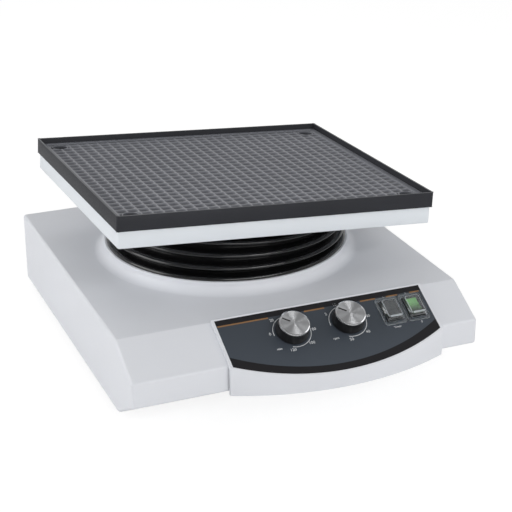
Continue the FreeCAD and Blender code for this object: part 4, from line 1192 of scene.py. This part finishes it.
class SHAKER_OT_stage(bpy.types.Operator):
    """Lay the floor, place the lights and aim the camera"""
    bl_idname = "shaker.stage"
    bl_label = "Stage"
    bl_options = UNDOABLE

    FLOOR = 6.0
    FLOOR_WHITE = 1.15
    SHADOW = 0.25
    # Upward share of a direction where the surroundings start to fade, and where they have faded
    FADE = (0.3, 0.8)
    # Each light's width, height and place, in metres
    LIGHTS = {
        "key": (1.2, 1.2, (-1.55, 0.25, 0.75)),
        "rear": (1.2, 0.6, (0.1, 1.3, 1.45)),
        "right": (0.8, 0.8, (1.35, -0.5, 0.9)),
        "strip": (1.0, 0.15, (0.55, -1.45, 1.15)),
        "fill": (1.6, 0.6, (0.0, -1.85, 0.8)),
    }

    def white_to_eye(self, tree):
        """1 for rays from the camera or through a clear piece, which then see a white ground."""
        path = add_node(tree, "ShaderNodeLightPath")
        return add_node(tree, "ShaderNodeMath", {
            0: path.outputs["Is Camera Ray"], 1: path.outputs["Is Transmission Ray"]},
            operation="MAXIMUM").outputs[0]

    def floor(self):
        """A paper floor that looks white but for a faint shadow."""
        bpy.ops.mesh.primitive_plane_add(size=self.FLOOR)
        floor = named("floor")
        material, tree, output, place = new_material("paper_floor_white")
        paper = add_node(tree, "ShaderNodeBsdfDiffuse", {"Color": rgba(linear("#F4F4F4"))})
        white = add_node(tree, "ShaderNodeEmission", {"Color": (1, 1, 1, 1), "Strength": self.FLOOR_WHITE})
        faint = add_node(tree, "ShaderNodeMath", {0: self.white_to_eye(tree), 1: 1 - self.SHADOW},
                         operation="MULTIPLY")
        both = add_node(tree, "ShaderNodeMixShader", {
            0: faint.outputs[0], 1: paper.outputs[0], 2: white.outputs[0]})
        tree.links.new(both.outputs[0], output.inputs["Surface"])
        floor.data.materials.append(material)

    def world(self, scene, size):
        """White surroundings, dimmer on the viewer's side and overhead."""
        world = bpy.data.worlds.new("studio_white")
        scene.world = world
        world.use_nodes = True
        tree = world.node_tree
        tree.nodes.clear()
        way = add_node(tree, "ShaderNodeSeparateXYZ", {
            "Vector": add_node(tree, "ShaderNodeTexCoord").outputs["Generated"]})
        level = add_node(tree, "ShaderNodeMapRange", {
            "Value": way.outputs["Y"], "From Min": -1.0, "To Min": size.front_sky, "To Max": size.back_sky})
        share = add_node(tree, "ShaderNodeMapRange", {
            "Value": way.outputs["Z"], "From Min": self.FADE[0], "From Max": self.FADE[1],
            "To Min": 1.0, "To Max": size.overhead})
        lit = add_node(tree, "ShaderNodeMath", {0: level.outputs["Result"], 1: share.outputs["Result"]},
                       operation="MULTIPLY")
        strength = add_node(tree, "ShaderNodeMapRange", {
            "Value": self.white_to_eye(tree), "To Min": lit.outputs[0], "To Max": 1.0})
        sky = add_node(tree, "ShaderNodeBackground", {
            "Color": (1, 1, 1, 1), "Strength": strength.outputs["Result"]})
        output = add_node(tree, "ShaderNodeOutputWorld")
        tree.links.new(sky.outputs[0], output.inputs["Surface"])

    def light(self, scene, name, watts, width, height, at, target):
        data = bpy.data.lights.new(name, "AREA")
        data.energy = watts
        data.shape = "RECTANGLE"
        data.size = width
        data.size_y = height
        light = bpy.data.objects.new(name, data)
        scene.collection.objects.link(light)
        light.location = at
        light.rotation_euler = (target - Vector(at)).to_track_quat("-Z", "Y").to_euler()

    def camera(self, scene, size):
        back = Vector((math.sin(size.azimuth) * math.cos(size.elevation),
                       -math.cos(size.azimuth) * math.cos(size.elevation), math.sin(size.elevation)))
        right = Vector((math.cos(size.azimuth), math.sin(size.azimuth), 0))
        up = back.cross(right)
        turned_right = right * math.cos(size.roll) + up * math.sin(size.roll)
        turned_up = up * math.cos(size.roll) - right * math.sin(size.roll)
        data = bpy.data.cameras.new("camera")
        data.lens = size.focal
        data.sensor_width = SENSOR
        data.sensor_fit = "HORIZONTAL"
        camera = bpy.data.objects.new("camera", data)
        scene.collection.objects.link(camera)
        turn = Matrix((turned_right, turned_up, back)).transposed().to_4x4()
        camera.matrix_world = Matrix.Translation(Vector(size.target) + back * size.distance) @ turn
        scene.camera = camera

    def execute(self, context):
        scene = context.scene
        size = settings("stage")
        only(None)
        self.floor()
        self.world(scene, size)
        for name, (width, height, at) in self.LIGHTS.items():
            self.light(scene, name, getattr(size, name), width, height, at, Vector(size.target))
        self.camera(scene, size)
        scene.view_settings.view_transform = "Standard"
        return {"FINISHED"}


class SHAKER_PT_panel(bpy.types.Panel):
    """Lists the shaker's pieces"""
    bl_label = "Shaker"
    bl_idname = "SHAKER_PT_panel"
    bl_space_type = "VIEW_3D"
    bl_region_type = "UI"
    bl_category = "Shaker"

    def draw(self, context):
        for operator in OPERATORS:
            self.layout.operator(operator.bl_idname)
        for name in GROUPS:
            group = settings(name)
            column = self.layout.box().column()
            for key in group.__annotations__:
                column.prop(group, key)


GROUPS = {"finish": ShakerFinish, "platform": ShakerPlatform, "bellows": ShakerBellows, "panel": ShakerPanel,
          "stage": ShakerStage}
OPERATORS = (SHAKER_OT_housing, SHAKER_OT_inside, SHAKER_OT_bellows, SHAKER_OT_tray, SHAKER_OT_rim,
             SHAKER_OT_mat, SHAKER_OT_print, SHAKER_OT_knobs, SHAKER_OT_switches, SHAKER_OT_stage)


def register():
    for made in (*GROUPS.values(), *OPERATORS, SHAKER_PT_panel):
        bpy.utils.register_class(made)
    for name, group in GROUPS.items():
        setattr(bpy.types.Scene, "shaker_" + name, PointerProperty(type=group))


def unregister():
    for name in GROUPS:
        delattr(bpy.types.Scene, "shaker_" + name)
    for made in (SHAKER_PT_panel, *reversed(OPERATORS), *GROUPS.values()):
        bpy.utils.unregister_class(made)


def main():
    register()
    for operator in OPERATORS:
        getattr(bpy.ops.shaker, operator.bl_idname.split(".")[1])()
    only(None)


if __name__ == "__main__":
    main()
